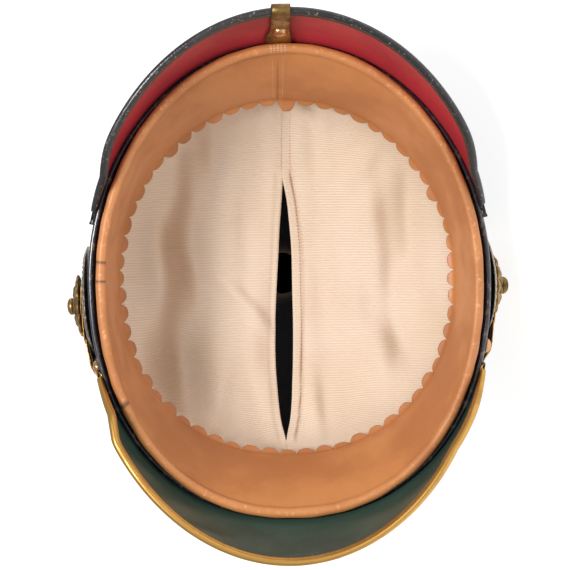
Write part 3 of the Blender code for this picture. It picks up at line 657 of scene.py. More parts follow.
# %% [markdown]
# ## Shell
# The real shell is one piece of thick leather, lacquered black outside and left dull inside, with a
# round vent hole in the crown whose cut edge shows raw leather. A modifier could give a surface its
# thickness, but the rim, the hole and the inside need materials of their own. So the shell is one
# closed ring profile: the outside from the rim to the vent, the vent's cut edge, the inside, and a
# rounded rim. Three masks along the profile tell the one material where it changes.


# %% Shell
SHELL_WALL = 0.0026
VENT_RADIUS = 0.0105


def make_shell():
    """Outer face at the shell's radius, inner face one wall further in, and a rim rounded by half a wall.

    The mask edge is one on the rim, vent on the hole's cut edge and inside on the inner face.
    """
    columns = 288
    angle = np.linspace(0, 2 * math.pi, columns, endpoint=False)
    nose = SHELL_WALL / 2
    share = np.cos(np.linspace(0, math.pi / 2, 58))
    rows, rim, vent, inside = [], [], [], []

    def add_row(row, rim_value, vent_value, inside_value):
        rows.append(row)
        rim.append(rim_value)
        vent.append(vent_value)
        inside.append(inside_value)

    for bend in np.radians(np.linspace(180, 360, 9)):
        radius = shell_plan(angle) - nose + nose * math.cos(bend)
        add_row(polar(radius, angle, nose + nose * math.sin(bend)), 1.0, 0.0, 0.0)
    for part in share[1:]:
        radius = VENT_RADIUS + (shell_plan(angle) - VENT_RADIUS) * part
        height = shell_height(angle, radius)
        waves = 0.00010 * ripples(radius * np.cos(angle), radius * np.sin(angle) + height, 3, 0.04)
        radius = radius + waves * (np.clip((height - 0.006) / 0.01, 0, 1) * part)
        worn = float(np.clip(1 - height.mean() / 0.006, 0, 1))
        add_row(polar(radius, angle, np.maximum(height, nose)), worn, 0.0, 0.0)
    top = shell_height(angle, VENT_RADIUS)
    low = shell_height(angle, VENT_RADIUS, SHELL_WALL)
    for down, inner in ((0.12, 0.0), (0.5, 1.0), (0.88, 1.0)):
        add_row(polar(VENT_RADIUS - 0.0003, angle, top + (low - top) * down), 0.0, 1.0, inner)
    for part in share[:0:-1]:
        radius = VENT_RADIUS + (shell_plan(angle, SHELL_WALL) - VENT_RADIUS) * part
        height = np.maximum(shell_height(angle, radius, SHELL_WALL), nose)
        add_row(polar(radius, angle, height), 0.0, float(bell(part, 0.0, 0.02)), 1.0)
    masks = {"edge": same_round(rim, columns), "vent": same_round(vent, columns),
             "inside": same_round(inside, columns)}
    return swept(np.transpose(np.array(rows), (1, 0, 2)), wrap=True, masks=masks)


def finish_shell_material():
    """Lacquer outside, dull dark grey inside, and pale raw leather on the vent's cut edge."""
    tree = LACQUER.node_tree
    shader = tree.nodes["Principled BSDF"]
    old = shader.inputs["Base Color"].links[0].from_socket
    place = next(node for node in tree.nodes if node.bl_idname == "ShaderNodeTexCoord").outputs["Object"]
    inside = mask_socket(tree, "inside")
    colour = blended(tree, inside, old, (0.085, 0.085, 0.105, 1))
    noise = noise_value(tree, place, 400.0, 4.0)
    pale = blended(tree, noise, (0.95, 0.76, 0.56, 1), (0.60, 0.42, 0.28, 1))
    colour = blended(tree, mask_socket(tree, "vent"), colour, pale)
    tree.links.new(colour, shader.inputs["Base Color"])
    rough = shader.inputs["Roughness"].links[0].from_socket
    dull = ranged(tree, inside, 0.0, 1.0, 0.0, 0.3)
    tree.links.new(math_node(tree, "ADD", rough, dull), shader.inputs["Roughness"])
    coat = ranged(tree, inside, 0.0, 1.0, 0.5, 0.0)
    tree.links.new(coat, shader.inputs["Coat Weight"])


finish_shell_material()
add_piece("shell_leather", make_shell(), LACQUER, ["shell"])

# %% [markdown]
# ## Sweatband
# The band is what touches the head: a strip of tan leather, rolled into a bead under the rim and
# standing up inside. Its free edge is cut into sixty scallops that lean in over the silk, and its ends
# overlap in a long tongue at the rear with a stitched seam. An array of one scallop would look too
# even, because each tongue was cut by hand and has curled in its own way. So the band is swept as one
# strip, and the columns of its grid carry each tongue's own length, notch and curl, drawn from a
# seeded random generator. The stitches are small ovals laid along lines on the leather.

# %% The band's sizes and its inner face
SCALLOPS = 60
BEAD_RADIUS = 0.0024
BAND_HEIGHT = 0.0400
BAND_WALL = 0.0009
BEAD_HALF_WIDTH = SHELL_HALF_WIDTH - 0.0037 - BEAD_RADIUS
BEAD_HALF_LENGTH = SHELL_HALF_LENGTH - 0.0004 - BEAD_RADIUS
EDGE_HALF_WIDTH = SHELL_HALF_WIDTH - 0.0136
EDGE_FRONT = SHELL_HALF_LENGTH - 0.0270
EDGE_REAR = SHELL_HALF_LENGTH - 0.0255
SEAM_ANGLE = math.pi / 2 - 0.034
TONGUE_START = 0.0368
SCRATCHES = (
    # angle from the wearer's left, strength, half width as an angle
    (0.117, 1.4, 0.006),
    (0.016, 1.4, 0.005),
    (-0.622, 1.1, 0.010),
)


def bead_reach(angle):
    """Reach of the bead's middle line."""
    return plan_radius(angle, BEAD_HALF_WIDTH, BEAD_HALF_LENGTH, BEAD_HALF_LENGTH)


def band_reach(angle, height):
    """Reach of the band's inner face: the parabola through its foot, its middle and its edge."""
    foot = bead_reach(angle) - BEAD_RADIUS + 0.0004
    edge = plan_radius(angle, EDGE_HALF_WIDTH, EDGE_FRONT, EDGE_REAR)
    bead = foot + BEAD_RADIUS - 0.0004
    middle = bead * 0.4 + edge * 0.6
    low, centre, high = -0.0020, 0.45 * BAND_HEIGHT, BAND_HEIGHT
    return (foot * (height - centre) * (height - high) / ((low - centre) * (low - high))
            + middle * (height - low) * (height - high) / ((centre - low) * (centre - high))
            + edge * (height - low) * (height - centre) / ((high - low) * (high - centre)))


# %% Sixty scallops, each a little different
def scallops():
    """Angle of every column, and for each its share of a whole tongue, its painted shade at the notches and
    its curl.

    A tongue is longest in its middle and falls off towards its sides, with a notch between two of them.
    The tongue at the seam is the band's overlapping end, and it is three quarters longer.
    """
    dice = np.random.default_rng(11)
    within = np.array([0.0, 0.02, 0.05, 0.10, 0.18, 0.28, 0.39, 0.5, 0.61, 0.72, 0.82, 0.90, 0.95, 0.98])
    starts = np.arange(SCALLOPS) + dice.uniform(-0.05, 0.05, SCALLOPS)
    widths = np.diff(np.append(starts, starts[0] + SCALLOPS))
    turn = (starts[:, None] + widths[:, None] * within) / SCALLOPS * 2 * math.pi + SEAM_ANGLE
    share = np.broadcast_to(within, turn.shape)
    notch = np.maximum(bell(share, 0, 0.020), bell(share, 1, 0.020))
    uneven = np.repeat(dice.uniform(0.90, 1.08, (SCALLOPS, 1)), len(within), axis=1)
    uneven[0] += 0.75
    length = np.maximum((1 - 0.58 * np.abs(2 * share - 1) ** 3.2) * uneven * (1 - 0.85 * notch), 0.05)
    # painted shade at the notches, where the gaps between tongues show
    cut = np.maximum(bell(share, 0, 0.028), bell(share, 1, 0.028))
    curl = np.repeat(dice.uniform(0.75, 1.35, (SCALLOPS, 1)), len(within), axis=1)
    return turn.ravel(), length.ravel(), cut.ravel(), curl.ravel()


# %% The band, its bead and its tongues
def make_sweatband():
    """Profile round the bead, up the inside, along the tongues as they lean over the silk, and back down.

    A whole tongue runs 2.5 mm inwards, most of it near its tip, and 2.2 mm up.
    """
    angle, length, cut, curl = scallops()
    past_seam = np.mod(angle - SEAM_ANGLE, 2 * math.pi)
    overlap = 0.0004 * (1 - smoothstep(past_seam / 0.33)) * smoothstep(past_seam / 0.030)
    seam_line = bell(past_seam, 0.0, 0.006) + bell(past_seam, 2 * math.pi, 0.003)
    bead = bead_reach(angle)
    level = -BEAD_RADIUS - GAP
    size = BEAD_RADIUS * (1 + 0.05 * ripples(angle * 0.1, angle * 0.0, 9, 0.012))
    rows, edge, shade_and_mark_rows = [], [], []
    heights = np.linspace(-0.0016, TONGUE_START, 32)
    sag = 0.0004 * ripples(angle * 0.09, angle * 0.0, 5, 0.06)

    def face(height, inset):
        wave = sag * smoothstep(height / 0.01) * smoothstep((BAND_HEIGHT - height) / 0.01)
        pressed = overlap * smoothstep((height + 0.001) / 0.004)
        return band_reach(angle, height) + inset + wave - pressed

    def tongue(share, back):
        part = share * length
        lean = 0.0003 * part + 0.0022 * curl * part ** 2
        rise = 0.0030 * part - 0.0008 * part ** 2
        steep = math.radians(75) * smoothstep(share)
        radius = face(TONGUE_START, 0.0) - lean + back * math.cos(steep)
        return polar(radius, angle, TONGUE_START + rise + back * math.sin(steep))

    def add_row(row, shade_and_mark_value, edge_value=0.0):
        rows.append(row)
        shade_and_mark_rows.append(shade_and_mark_value + np.zeros_like(angle))
        edge.append(edge_value)

    scratches = sum(deep * bell(angle, 2 * math.pi + turn, width) for turn, deep, width in SCRATCHES)
    for degrees in np.linspace(78, -195, 19):
        bend = math.radians(degrees)
        row = polar(bead + size * math.cos(bend), angle, level + size * math.sin(bend))
        # painted shade in the crease where the bead turns up into the band; the scratches are real marks
        crease_shade = 0.10 * float(bell(degrees, -195, 22))
        shown = float(smoothstep((degrees + 170) / 30))
        add_row(row, crease_shade + scratches * shown, float(bell(degrees, -95, 60)))
    for height in heights:
        # painted shade in the same crease; the seam line is a real dark joint
        crease_shade = 0.08 * float(bell(height, -0.0016, 0.0012))
        seamed = 0.14 * seam_line * smoothstep((height - 0.004) / 0.004)
        add_row(polar(face(height, 0.0), angle, height), np.maximum(crease_shade, seamed))
    for share in np.linspace(0.08, 1.0, 13):
        # painted shade in the notches, growing towards the tongues' tips
        add_row(tongue(share, 0.0), 0.9 * cut * smoothstep((share - 0.02) / 0.1) + 0.16 * share)
    # painted shade on the tongues' cut edges, as dark outlines
    for share, back in ((1.03, 0.00015), (1.045, 0.00045), (1.03, 0.00075)):
        add_row(tongue(share, back), np.maximum(cut, 0.45))
    # painted shade on the tongues' backs
    for share in np.linspace(1.0, 0.08, 9):
        add_row(tongue(share, BAND_WALL), 0.4)
    # painted shade on the band's back, against the shell
    for height in heights[::-1][:-1]:
        add_row(polar(face(height, BAND_WALL + overlap), angle, height), 0.3)
    # the mask cut here: real scratches and the seam line, and painted shade
    masks = {"edge": same_round(edge, len(angle)), "cut": np.clip(np.array(shade_and_mark_rows), 0, 1).T}
    return swept(np.transpose(np.array(rows), (1, 0, 2)), wrap=True, masks=masks)


# %% The seam's stitches
def seam_stitches():
    """A patch of crossed stitches on the bead at the rear, and a row up the band on each side of the seam."""
    made = []
    for number, offset in enumerate(np.linspace(-0.030, 0.030, 5)):
        angle = SEAM_ANGLE + offset
        bend = np.radians(np.linspace(-50, -175, 12))
        level = -BEAD_RADIUS - GAP + BEAD_RADIUS * np.sin(bend)
        line = polar(bead_reach(angle) + 1.01 * BEAD_RADIUS * np.cos(bend), angle, level)
        made += stitches(line, np.array([0, 0, -1.0]), 0.0011, 0.0013, 0.00019, 0.9 * (-1) ** number)
    for offset in (-0.026, 0.024):
        angle = SEAM_ANGLE + offset
        height = np.linspace(0.0010, 0.0345, 30)
        line = polar(band_reach(angle, height) - 0.0004, angle, height)
        made += stitches(line, np.array([0, -1.0, 0]), 0.0023, 0.0012, 0.00016)
    return joined(made)


add_piece("sweatband_leather", make_sweatband(), TAN, ["sweatband"])
add_piece("seam_stitches_thread", seam_stitches(), THREAD)

# %% [markdown]
# ## Lining
# Inside hang two halves of ribbed silk, sewn down behind the band and open along a slit where the head
# would touch the crown. The silk is old and has soft folds. A cloth simulation would put folds where
# it likes, and this silk is stretched and has no free hang. So each half is a dome between the band's
# edge and the slit's measured outline, and the folds are set as smooth bumps with a place, a
# slant, a width and a length. The folds are real geometry, so they catch the light, and a slight warm
# tint on their slopes that face away from the key light is painted shade. The right half has a turned hem
# with a row of stitches.

# %% The slit between the halves
LINING_CROWN = worn_box("lining_left")[1][2]
SLIT_ALONG = np.array([-0.0790, -0.0765, -0.0700, -0.0603, -0.0458, -0.0312, -0.0215, 0.0119, 0.0220, 0.0366,
                       0.0480])
SLIT_EDGES = {
    1: np.array([0.0010, 0.0017, 0.0034, 0.0044, 0.0051, 0.0051, 0.0048, 0.0026, 0.0021, 0.0008, 0.0000]),
    -1: np.array([0.0014, 0.0006, -0.0011, -0.0024, -0.0032, -0.0036, -0.0038, -0.0037, -0.0031, -0.0018,
                  0.0004]),
}


def slit_edge(along, side):
    """Sideways place of the slit's edge, read off the measured line and eased between its points."""
    ends = SLIT_EDGES[side]
    fine = np.linspace(SLIT_ALONG[0], SLIT_ALONG[-1], 200)
    line = np.pad(np.interp(fine, SLIT_ALONG, ends), 6, mode="edge")
    line = np.convolve(line, np.ones(13) / 13, mode="valid")
    return np.interp(along, fine, line, left=ends[0], right=ends[-1])


print("slit", round(1000 * float(SLIT_ALONG[-1] - SLIT_ALONG[0])), "mm long and",
      round(1000 * float((SLIT_EDGES[1] - SLIT_EDGES[-1]).max()), 1), "mm wide")


# %% The stretched silk, still smooth
LINING_ROWS, LINING_COLUMNS = 96 + 2, 150
LINING_POWER = 2.4


def lining_rows(side, turn, rise):
    """Outer face of the lining: foot behind the band, spring at its edge, then a dome to the slit."""
    across_turn = turn if side > 0 else math.pi - turn
    edge = plan_radius(across_turn, EDGE_HALF_WIDTH, EDGE_FRONT, EDGE_REAR)
    outset = 0.0014
    foot = polar(edge + 0.0020 + outset, across_turn, BAND_HEIGHT - 0.0052)
    spring = polar(edge + outset - 0.0004, across_turn, BAND_HEIGHT + 0.0003)
    along = spring[:, 1]
    reach = np.where(along > 0, along.max(), -along.min())
    arch = np.clip(1 - np.abs(along / reach) ** LINING_POWER, 0, 1) ** (1 / LINING_POWER)
    base = BAND_HEIGHT + 0.0060
    crown = base + (LINING_CROWN - 0.0002 - base) * arch
    slit = slit_edge(along, side)
    rows = [foot, foot * 0.5 + spring * 0.5]
    for bend in rise:
        width = slit + (spring[:, 0] - slit) * math.cos(bend)
        level = spring[:, 2] + (crown - spring[:, 2]) * math.sin(bend) ** 1.25
        rows.append(np.stack([width, along, level], axis=1))
    return np.array(rows)


# %% Its folds
FOLD_DEPTH = 1.4
FOLDS = {
    1: (
        # height, across, slant, width, along, length
        (0.0054, 0.0610, -0.06, 0.0092, 0.0000, 0.0460),
        (-0.0050, 0.0430, 0.02, 0.0100, -0.0020, 0.0480),
        (0.0030, 0.0500, -0.25, 0.0075, 0.0580, 0.0180),
        (-0.0026, 0.0300, -0.10, 0.0085, 0.0600, 0.0180),
        (-0.0095, 0.0520, 0.22, 0.0130, -0.0430, 0.0270),
        (0.0016, 0.0225, 0.90, 0.0042, -0.0120, 0.0130),
        (0.0014, 0.0150, 0.10, 0.0050, -0.0350, 0.0260),
        (0.0016, 0.0330, -0.30, 0.0050, -0.0560, 0.0150),
    ),
    -1: (
        (0.0030, -0.0400, 0.02, 0.0095, 0.0270, 0.0270),
        (-0.0024, -0.0590, -0.10, 0.0080, 0.0270, 0.0260),
        (0.0028, -0.0420, 0.12, 0.0090, -0.0350, 0.0170),
        (-0.0018, -0.0580, 0.20, 0.0080, -0.0350, 0.0160),
        (0.0012, -0.0290, 0.10, 0.0060, -0.0180, 0.0260),
        (0.0012, -0.0370, -0.60, 0.0060, 0.0520, 0.0160),
        (0.0018, -0.0130, 0.10, 0.0036, -0.0620, 0.0140),
    ),
}


def lining_folds(points, side):
    """Depth of the folds towards the head.

    Each is a smooth bump across its line, times a smooth bump along it. The lines slant, and they wander
    by about 2 mm, so that no fold runs dead straight.
    """
    across, along = points[..., 0], points[..., 1]
    depth = 0.0005 * ripples(across * 1.6, along * 0.5, 7 if side > 0 else 8, 0.020)
    for height, place, slant, width, centre, length in FOLDS[side]:
        wander = 0.0018 * ripples(along, across * 0.4, 31 if side > 0 else 32, 0.045)
        line = across - place - slant * (along - centre) + wander
        depth = depth + FOLD_DEPTH * height * bell(line, 0, width) * bell(along, centre, length)
    return depth


# %% One half of the lining
SILK_WALL = 0.0008


def make_lining(side):
    """Closed sheet 0.8 mm thick, with the folds on both faces and a raised hem.

    The mask cut darkens the right hem's stitch line and the seam beyond the slit's ends, and paints shade on
    the left half's fold line, on the foot behind the band and on the folds' slopes that face away from the
    light.
    """
    even = np.linspace(-1, 1, LINING_COLUMNS)
    turn = np.radians(89.4) * (0.75 * even + 0.25 * np.sin(even * math.pi / 2))
    rise = (math.pi / 2) * np.linspace(0, 1, LINING_ROWS - 2) ** 0.9
    outer = lining_rows(side, turn, rise)
    slit = slit_edge(outer[..., 1], side)
    gap = np.abs(outer[..., 0] - slit)
    inward = np.minimum(smoothstep((outer[..., 2] - BAND_HEIGHT) / 0.008), smoothstep(gap / 0.006 + 0.35))
    shift = np.array([0.003, 0, 0])
    steep = (lining_folds(outer + shift, side) - lining_folds(outer - shift, side)) / 0.006
    outer[..., 2] -= lining_folds(outer, side) * inward
    normals = surface_normals(outer)
    normals *= np.sign(normals[40, LINING_COLUMNS // 2, 2])
    open_part = smoothstep((0.052 - outer[..., 1]) / 0.004) * smoothstep((outer[..., 1] + 0.081) / 0.004)
    outer[..., 2] -= 0.0006 * (1 - open_part) * bell(gap, 0.0, 0.004) * (side < 0)
    if side < 0:
        hem = smoothstep((0.0050 - gap) / 0.0005) * 0.0010 * open_part
        hem_dark_line = bell(gap, 0.0040, 0.00035) * open_part
        hem -= 0.0004 * hem_dark_line
    else:
        hem = 0.0005 * bell(gap, 0.0, 0.0042) * open_part
        # on the left half, painted shade along the fold line 3.6 mm in from the slit's edge
        hem_dark_line = 0.35 * bell(gap, 0.0036, 0.0007) * open_part
    seam = bell(gap, 0.0, 0.0005) * (1 - open_part)
    inner = outer - (SILK_WALL + hem)[..., None] * normals
    ribs = arc_lengths(outer, 1)
    middle = ribs[:, LINING_COLUMNS // 2, None]
    flat = np.stack([ribs - middle, arc_lengths(outer, 0)], axis=-1)
    # painted shade on the slopes of the folds that face away from the key light
    shade = smoothstep((steep - 0.02) / 1.0) * inward
    cut = np.clip(hem_dark_line * 0.75 + seam * 0.35 + 0.66 * shade, 0, 1)
    # painted shade where the silk passes behind the band's edge
    cut = cut + 0.35 * smoothstep((0.0012 - np.abs(outer[..., 2] - BAND_HEIGHT)) / 0.0012)
    return closed_sheet(inner, outer, flat, {"cut": np.concatenate([cut.ravel()] * 2)})


def hem_line(shape, side, gap_wanted):
    """Points of the lining's inner face at one distance from the slit's edge, where the slit is open."""
    count = LINING_ROWS * LINING_COLUMNS
    inner = shape.points[:count].reshape(LINING_ROWS, LINING_COLUMNS, 3)
    order = np.arange(LINING_ROWS - 30, LINING_ROWS)[::-1]
    line = []
    for column in range(LINING_COLUMNS):
        gap = np.abs(inner[:, column, 0] - slit_edge(inner[:, column, 1], side))
        line.append([np.interp(gap_wanted, gap[order], inner[order, column, axis]) for axis in range(3)])
    line = np.array(line)
    return line[(line[:, 1] > -0.076) & (line[:, 1] < 0.086)]


def sheet_area(shape):
    """Half the area of a thin closed sheet: each quad has half the cross product of its diagonals."""
    corners = shape.points[shape.quads]
    crossed = np.cross(corners[:, 2] - corners[:, 0], corners[:, 3] - corners[:, 1])
    return np.linalg.norm(crossed, axis=-1).sum() / 4


# %% Both halves, and the stitches of the hem
for side_name, side in (("left", 1), ("right", -1)):
    half = make_lining(side)
    piece = add_piece("silk_lining_" + side_name, half, SILK, ["lining_" + side_name])
    print("area", round(sheet_area(half), 5))
hem = stitches(hem_line(half, side, 0.0040), np.array([0, 0, -1.0]), 0.0017, 0.0011, 0.00020)
add_piece("hem_stitches_thread", joined(hem), TAN)

# %% [markdown]
# ## Peak and neck guard
# Both brims are stiff leather, black above and dyed underneath, green in front and red behind. Each
# has a flange sewn against the shell, a rounded root and a leaf that bends down to its edge. A flat
# outline could be cut and bent with a lattice, but then its root would not sit on the shell. Here
# every column starts on the shell's own formula and runs out to the edge's outline. The peak's edge
# is an ellipse cut by a straight side beyond each corner, the guard's an ellipse that turns forward.
# The mask under separates the dyed side from the lacquered one.

# %% Sizes of the peak and the guard
PEAK_END, GUARD_END = 66.0, 73.0
BRIM_END_DROP = 0.0050
PEAK_EDGE_FRONT = SHELL_HALF_LENGTH + 0.0156
PEAK_EDGE_HALF_WIDTH = SHELL_HALF_WIDTH + 0.0005
PEAK_CORNER = SHELL_HALF_WIDTH - 0.0124
PEAK_LEAN = 0.0036
GUARD_EDGE_REAR = SHELL_HALF_LENGTH + 0.0116
GUARD_EDGE_HALF_WIDTH = SHELL_HALF_WIDTH + 0.0024
PEAK_DROP, GUARD_DROP = 0.0320, 0.0340
BRIM_WALL = 0.0015
FLANGE_LEVELS = (0.0080, 0.0055, 0.0032, 0.0014)
LEAST_LEAF = 0.0003
PEAK_SIDE_START = np.array([0.0838, 0.0400])
GUARD_SIDE_START = np.array([0.0838, 0.0340])


# %% Their edges
def ellipse_radius(turn, half_width, reach):
    """Reach of an ellipse, with the turn measured from the brim's middle."""
    return 1 / np.hypot(np.sin(turn) / half_width, np.cos(turn) / reach)


def straight_side(turn, start, corner):
    """Reach of the straight line through start and corner, at a turn from the brim's middle."""
    run = np.array(corner) - start
    normal = np.array([run[1], -run[0]]) / np.hypot(*run)
    return normal @ start / np.maximum(normal[0] * np.abs(np.sin(turn)) + normal[1] * np.cos(turn), 1e-3)


def brim_drop(along, end_along, tip, drop, power):
    """Drop to the edge: full at the tip, a few millimetres where the brim thins out, nothing at its end."""
    share = np.clip((tip - along) / (tip - end_along), 0, 1)
    lifted = 0.0070 * smoothstep((share - 0.72) / 0.28)
    return BRIM_END_DROP + (drop - BRIM_END_DROP) * (1 - share ** power) - lifted


def peak_edge(turn):
    """Reach and drop of the peak's edge: a smooth least of an ellipse and a straight side.

    The middle is a little further out to one side, as the real peak is bent.
    """
    ellipse = ellipse_radius(turn, PEAK_EDGE_HALF_WIDTH, PEAK_EDGE_FRONT) + PEAK_LEAN * np.sin(turn)
    left = straight_side(turn, PEAK_SIDE_START, (PEAK_CORNER, 0.0690))
    right = straight_side(turn, PEAK_SIDE_START, (PEAK_CORNER, 0.0630))
    side = np.where(turn > 0, left, right)
    least = np.minimum(ellipse, side)
    reach = least * ((ellipse / least) ** -400.0 + (side / least) ** -400.0) ** (-1 / 400)
    return reach, brim_drop(reach * np.cos(turn), 0.0370, PEAK_EDGE_FRONT, PEAK_DROP, 2.6)


def guard_edge(turn):
    """Reach and drop of the guard's edge: an ellipse that turns straight forward at its sides."""
    ellipse = ellipse_radius(turn, GUARD_EDGE_HALF_WIDTH, GUARD_EDGE_REAR)
    side = straight_side(turn, GUARD_SIDE_START, (0.0822, 0.0600))
    reach = (ellipse ** -60.0 + side ** -60.0) ** (-1 / 60)
    return reach, brim_drop(reach * np.cos(turn), 0.0270, GUARD_EDGE_REAR, GUARD_DROP, 1.7)


# %% Their two faces, and a closed sheet from them
def brim_faces(edge, facing, end_degrees, columns=220):
    """Underside and upper face: a flange on the shell, a rounded root, and a leaf that curves down.

    The leaf is a quadratic curve, pulled out by 0.62 and down by 0.38 in its middle.
    """
    even = np.linspace(-1, 1, columns)[None, :]
    turn = math.radians(end_degrees) * (0.6 * even + 0.4 * np.sin(even * math.pi / 2))
    angle = facing * (math.pi / 2 - turn)
    root = shell_plan(angle) + 0.0001
    reach, drop = edge(turn)
    reach = root + LEAST_LEAF + np.maximum(reach - root - LEAST_LEAF, 0)
    share = np.linspace(0, 1, 26)[:, None]
    bow = 2 * share * (1 - share)
    leaf = polar(root + (reach - root) * (0.62 * bow + share ** 2), angle, -drop * (0.38 * bow + share ** 2))
    flange = [polar(shell_radius(angle, level) + 0.0001, angle, level)[0] for level in FLANGE_LEVELS]
    inner = np.concatenate([np.array(flange), leaf])
    normals = surface_normals(inner)
    outward = np.sign(np.sum(normals[0, columns // 2, :2] * inner[0, columns // 2, :2]))
    normals = normals * outward
    return inner, inner + BRIM_WALL * normals, normals


def from_ends(count):
    """For each of count columns, how many columns it lies from the nearer end."""
    return np.minimum(np.arange(count), np.arange(count)[::-1])


def brim_shape(inner, outer):
    """The sheet's closed sections: underside, rounded nose, upper face; its ends thin out to 0.55."""
    ends = np.clip(from_ends(inner.shape[1]) / 4, 0, 1)
    keep = (0.55 + 0.45 * np.sqrt(ends))[None, :, None]
    middle = (inner + outer) / 2
    inner = middle + (inner - middle) * keep
    outer = middle + (outer - middle) * keep
    beyond = unit(middle[-1] - middle[-3])
    half = (outer[-1] - inner[-1]) / 2
    size = np.linalg.norm(half, axis=-1, keepdims=True)
    start = middle[-1] - 0.55 * size * beyond
    nose = [start + size * 0.8 * beyond * math.sin(bend) - half * math.cos(bend)
            for bend in np.radians([0, 30, 60, 90, 120, 150, 180])]
    top = [middle[0] + (outer[0] - middle[0]) * 0.5 + np.array([0, 0, 0.0003]),
           middle[0] - (middle[0] - inner[0]) * 0.5 + np.array([0, 0, 0.0003])]
    rows = np.concatenate([inner[:-1], np.array(nose), outer[:-1][::-1], np.array(top)])
    under = np.concatenate([np.ones(len(inner) - 1), np.full(len(nose), 0.5), np.zeros(len(inner) + 1)])
    return rows, under


# %% The leather of both
def make_brim(edge, facing, end_degrees, seed, creases):
    """A brim with soft waves in its leaf, up to creases deep, and the masks under and edge."""
    inner, outer, normals = brim_faces(edge, facing, end_degrees)
    waves = creases * ripples(inner[..., 0], inner[..., 1] + inner[..., 2], seed, 0.03)
    row = np.arange(len(inner))[:, None]
    away = smoothstep((row - 6) / 8) * smoothstep((len(inner) - 1 - row) / 6)
    inner = inner + (waves * away)[..., None] * normals
    outer = outer + (waves * away)[..., None] * normals
    rows, under = brim_shape(inner, outer)
    ends = from_ends(rows.shape[1])
    masks = {"under": under[None, :] * smoothstep((ends[:, None] - 5) / 4)}
    line = arc_lengths(rows, 0)
    span = line[len(inner)]
    masks["edge"] = np.clip(1 - np.abs(line - span) / 0.012, 0, 1).T
    return swept(np.transpose(rows, (1, 0, 2)), masks=masks)


def two_sided(material):
    """The dyed underside meets black lacquer on the upper face."""
    tree = material.node_tree
    shader = tree.nodes["Principled BSDF"]
    under = ranged(tree, mask_socket(tree, "under"), 0.3, 0.6)
    old = shader.inputs["Base Color"].links[0].from_socket
    tree.links.new(blended(tree, under, (0.012, 0.012, 0.018, 1), old), shader.inputs["Base Color"])
    rough = shader.inputs["Roughness"].links[0].from_socket
    less = ranged(tree, under, 0.0, 1.0, -0.16, 0.0)
    tree.links.new(math_node(tree, "ADD", rough, less), shader.inputs["Roughness"])


two_sided(GREEN)
two_sided(RED)
peak = make_brim(peak_edge, -1, PEAK_END, 21, 0.00038)
add_piece("peak_leather", peak, GREEN, ["front_peak"])
guard = make_brim(guard_edge, 1, GUARD_END, 22, 0.00015)
add_piece("guard_leather", guard, RED, ["neck_guard"])

# %% [markdown]
# ## Edges of the brims
# The peak's edge sits in a brass channel, which keeps it stiff, and the guard's in a folded black
# leather binding with a seam line. A tube along the edge would be quicker, but both edges show their
# open side close to the camera. So each is a U: two legs that follow the leaf's bend and a round nose,
# hollow inside. It gets smaller towards the ends, where the leaf is narrow, and a groove in the legs
# of the binding stands for its seam.


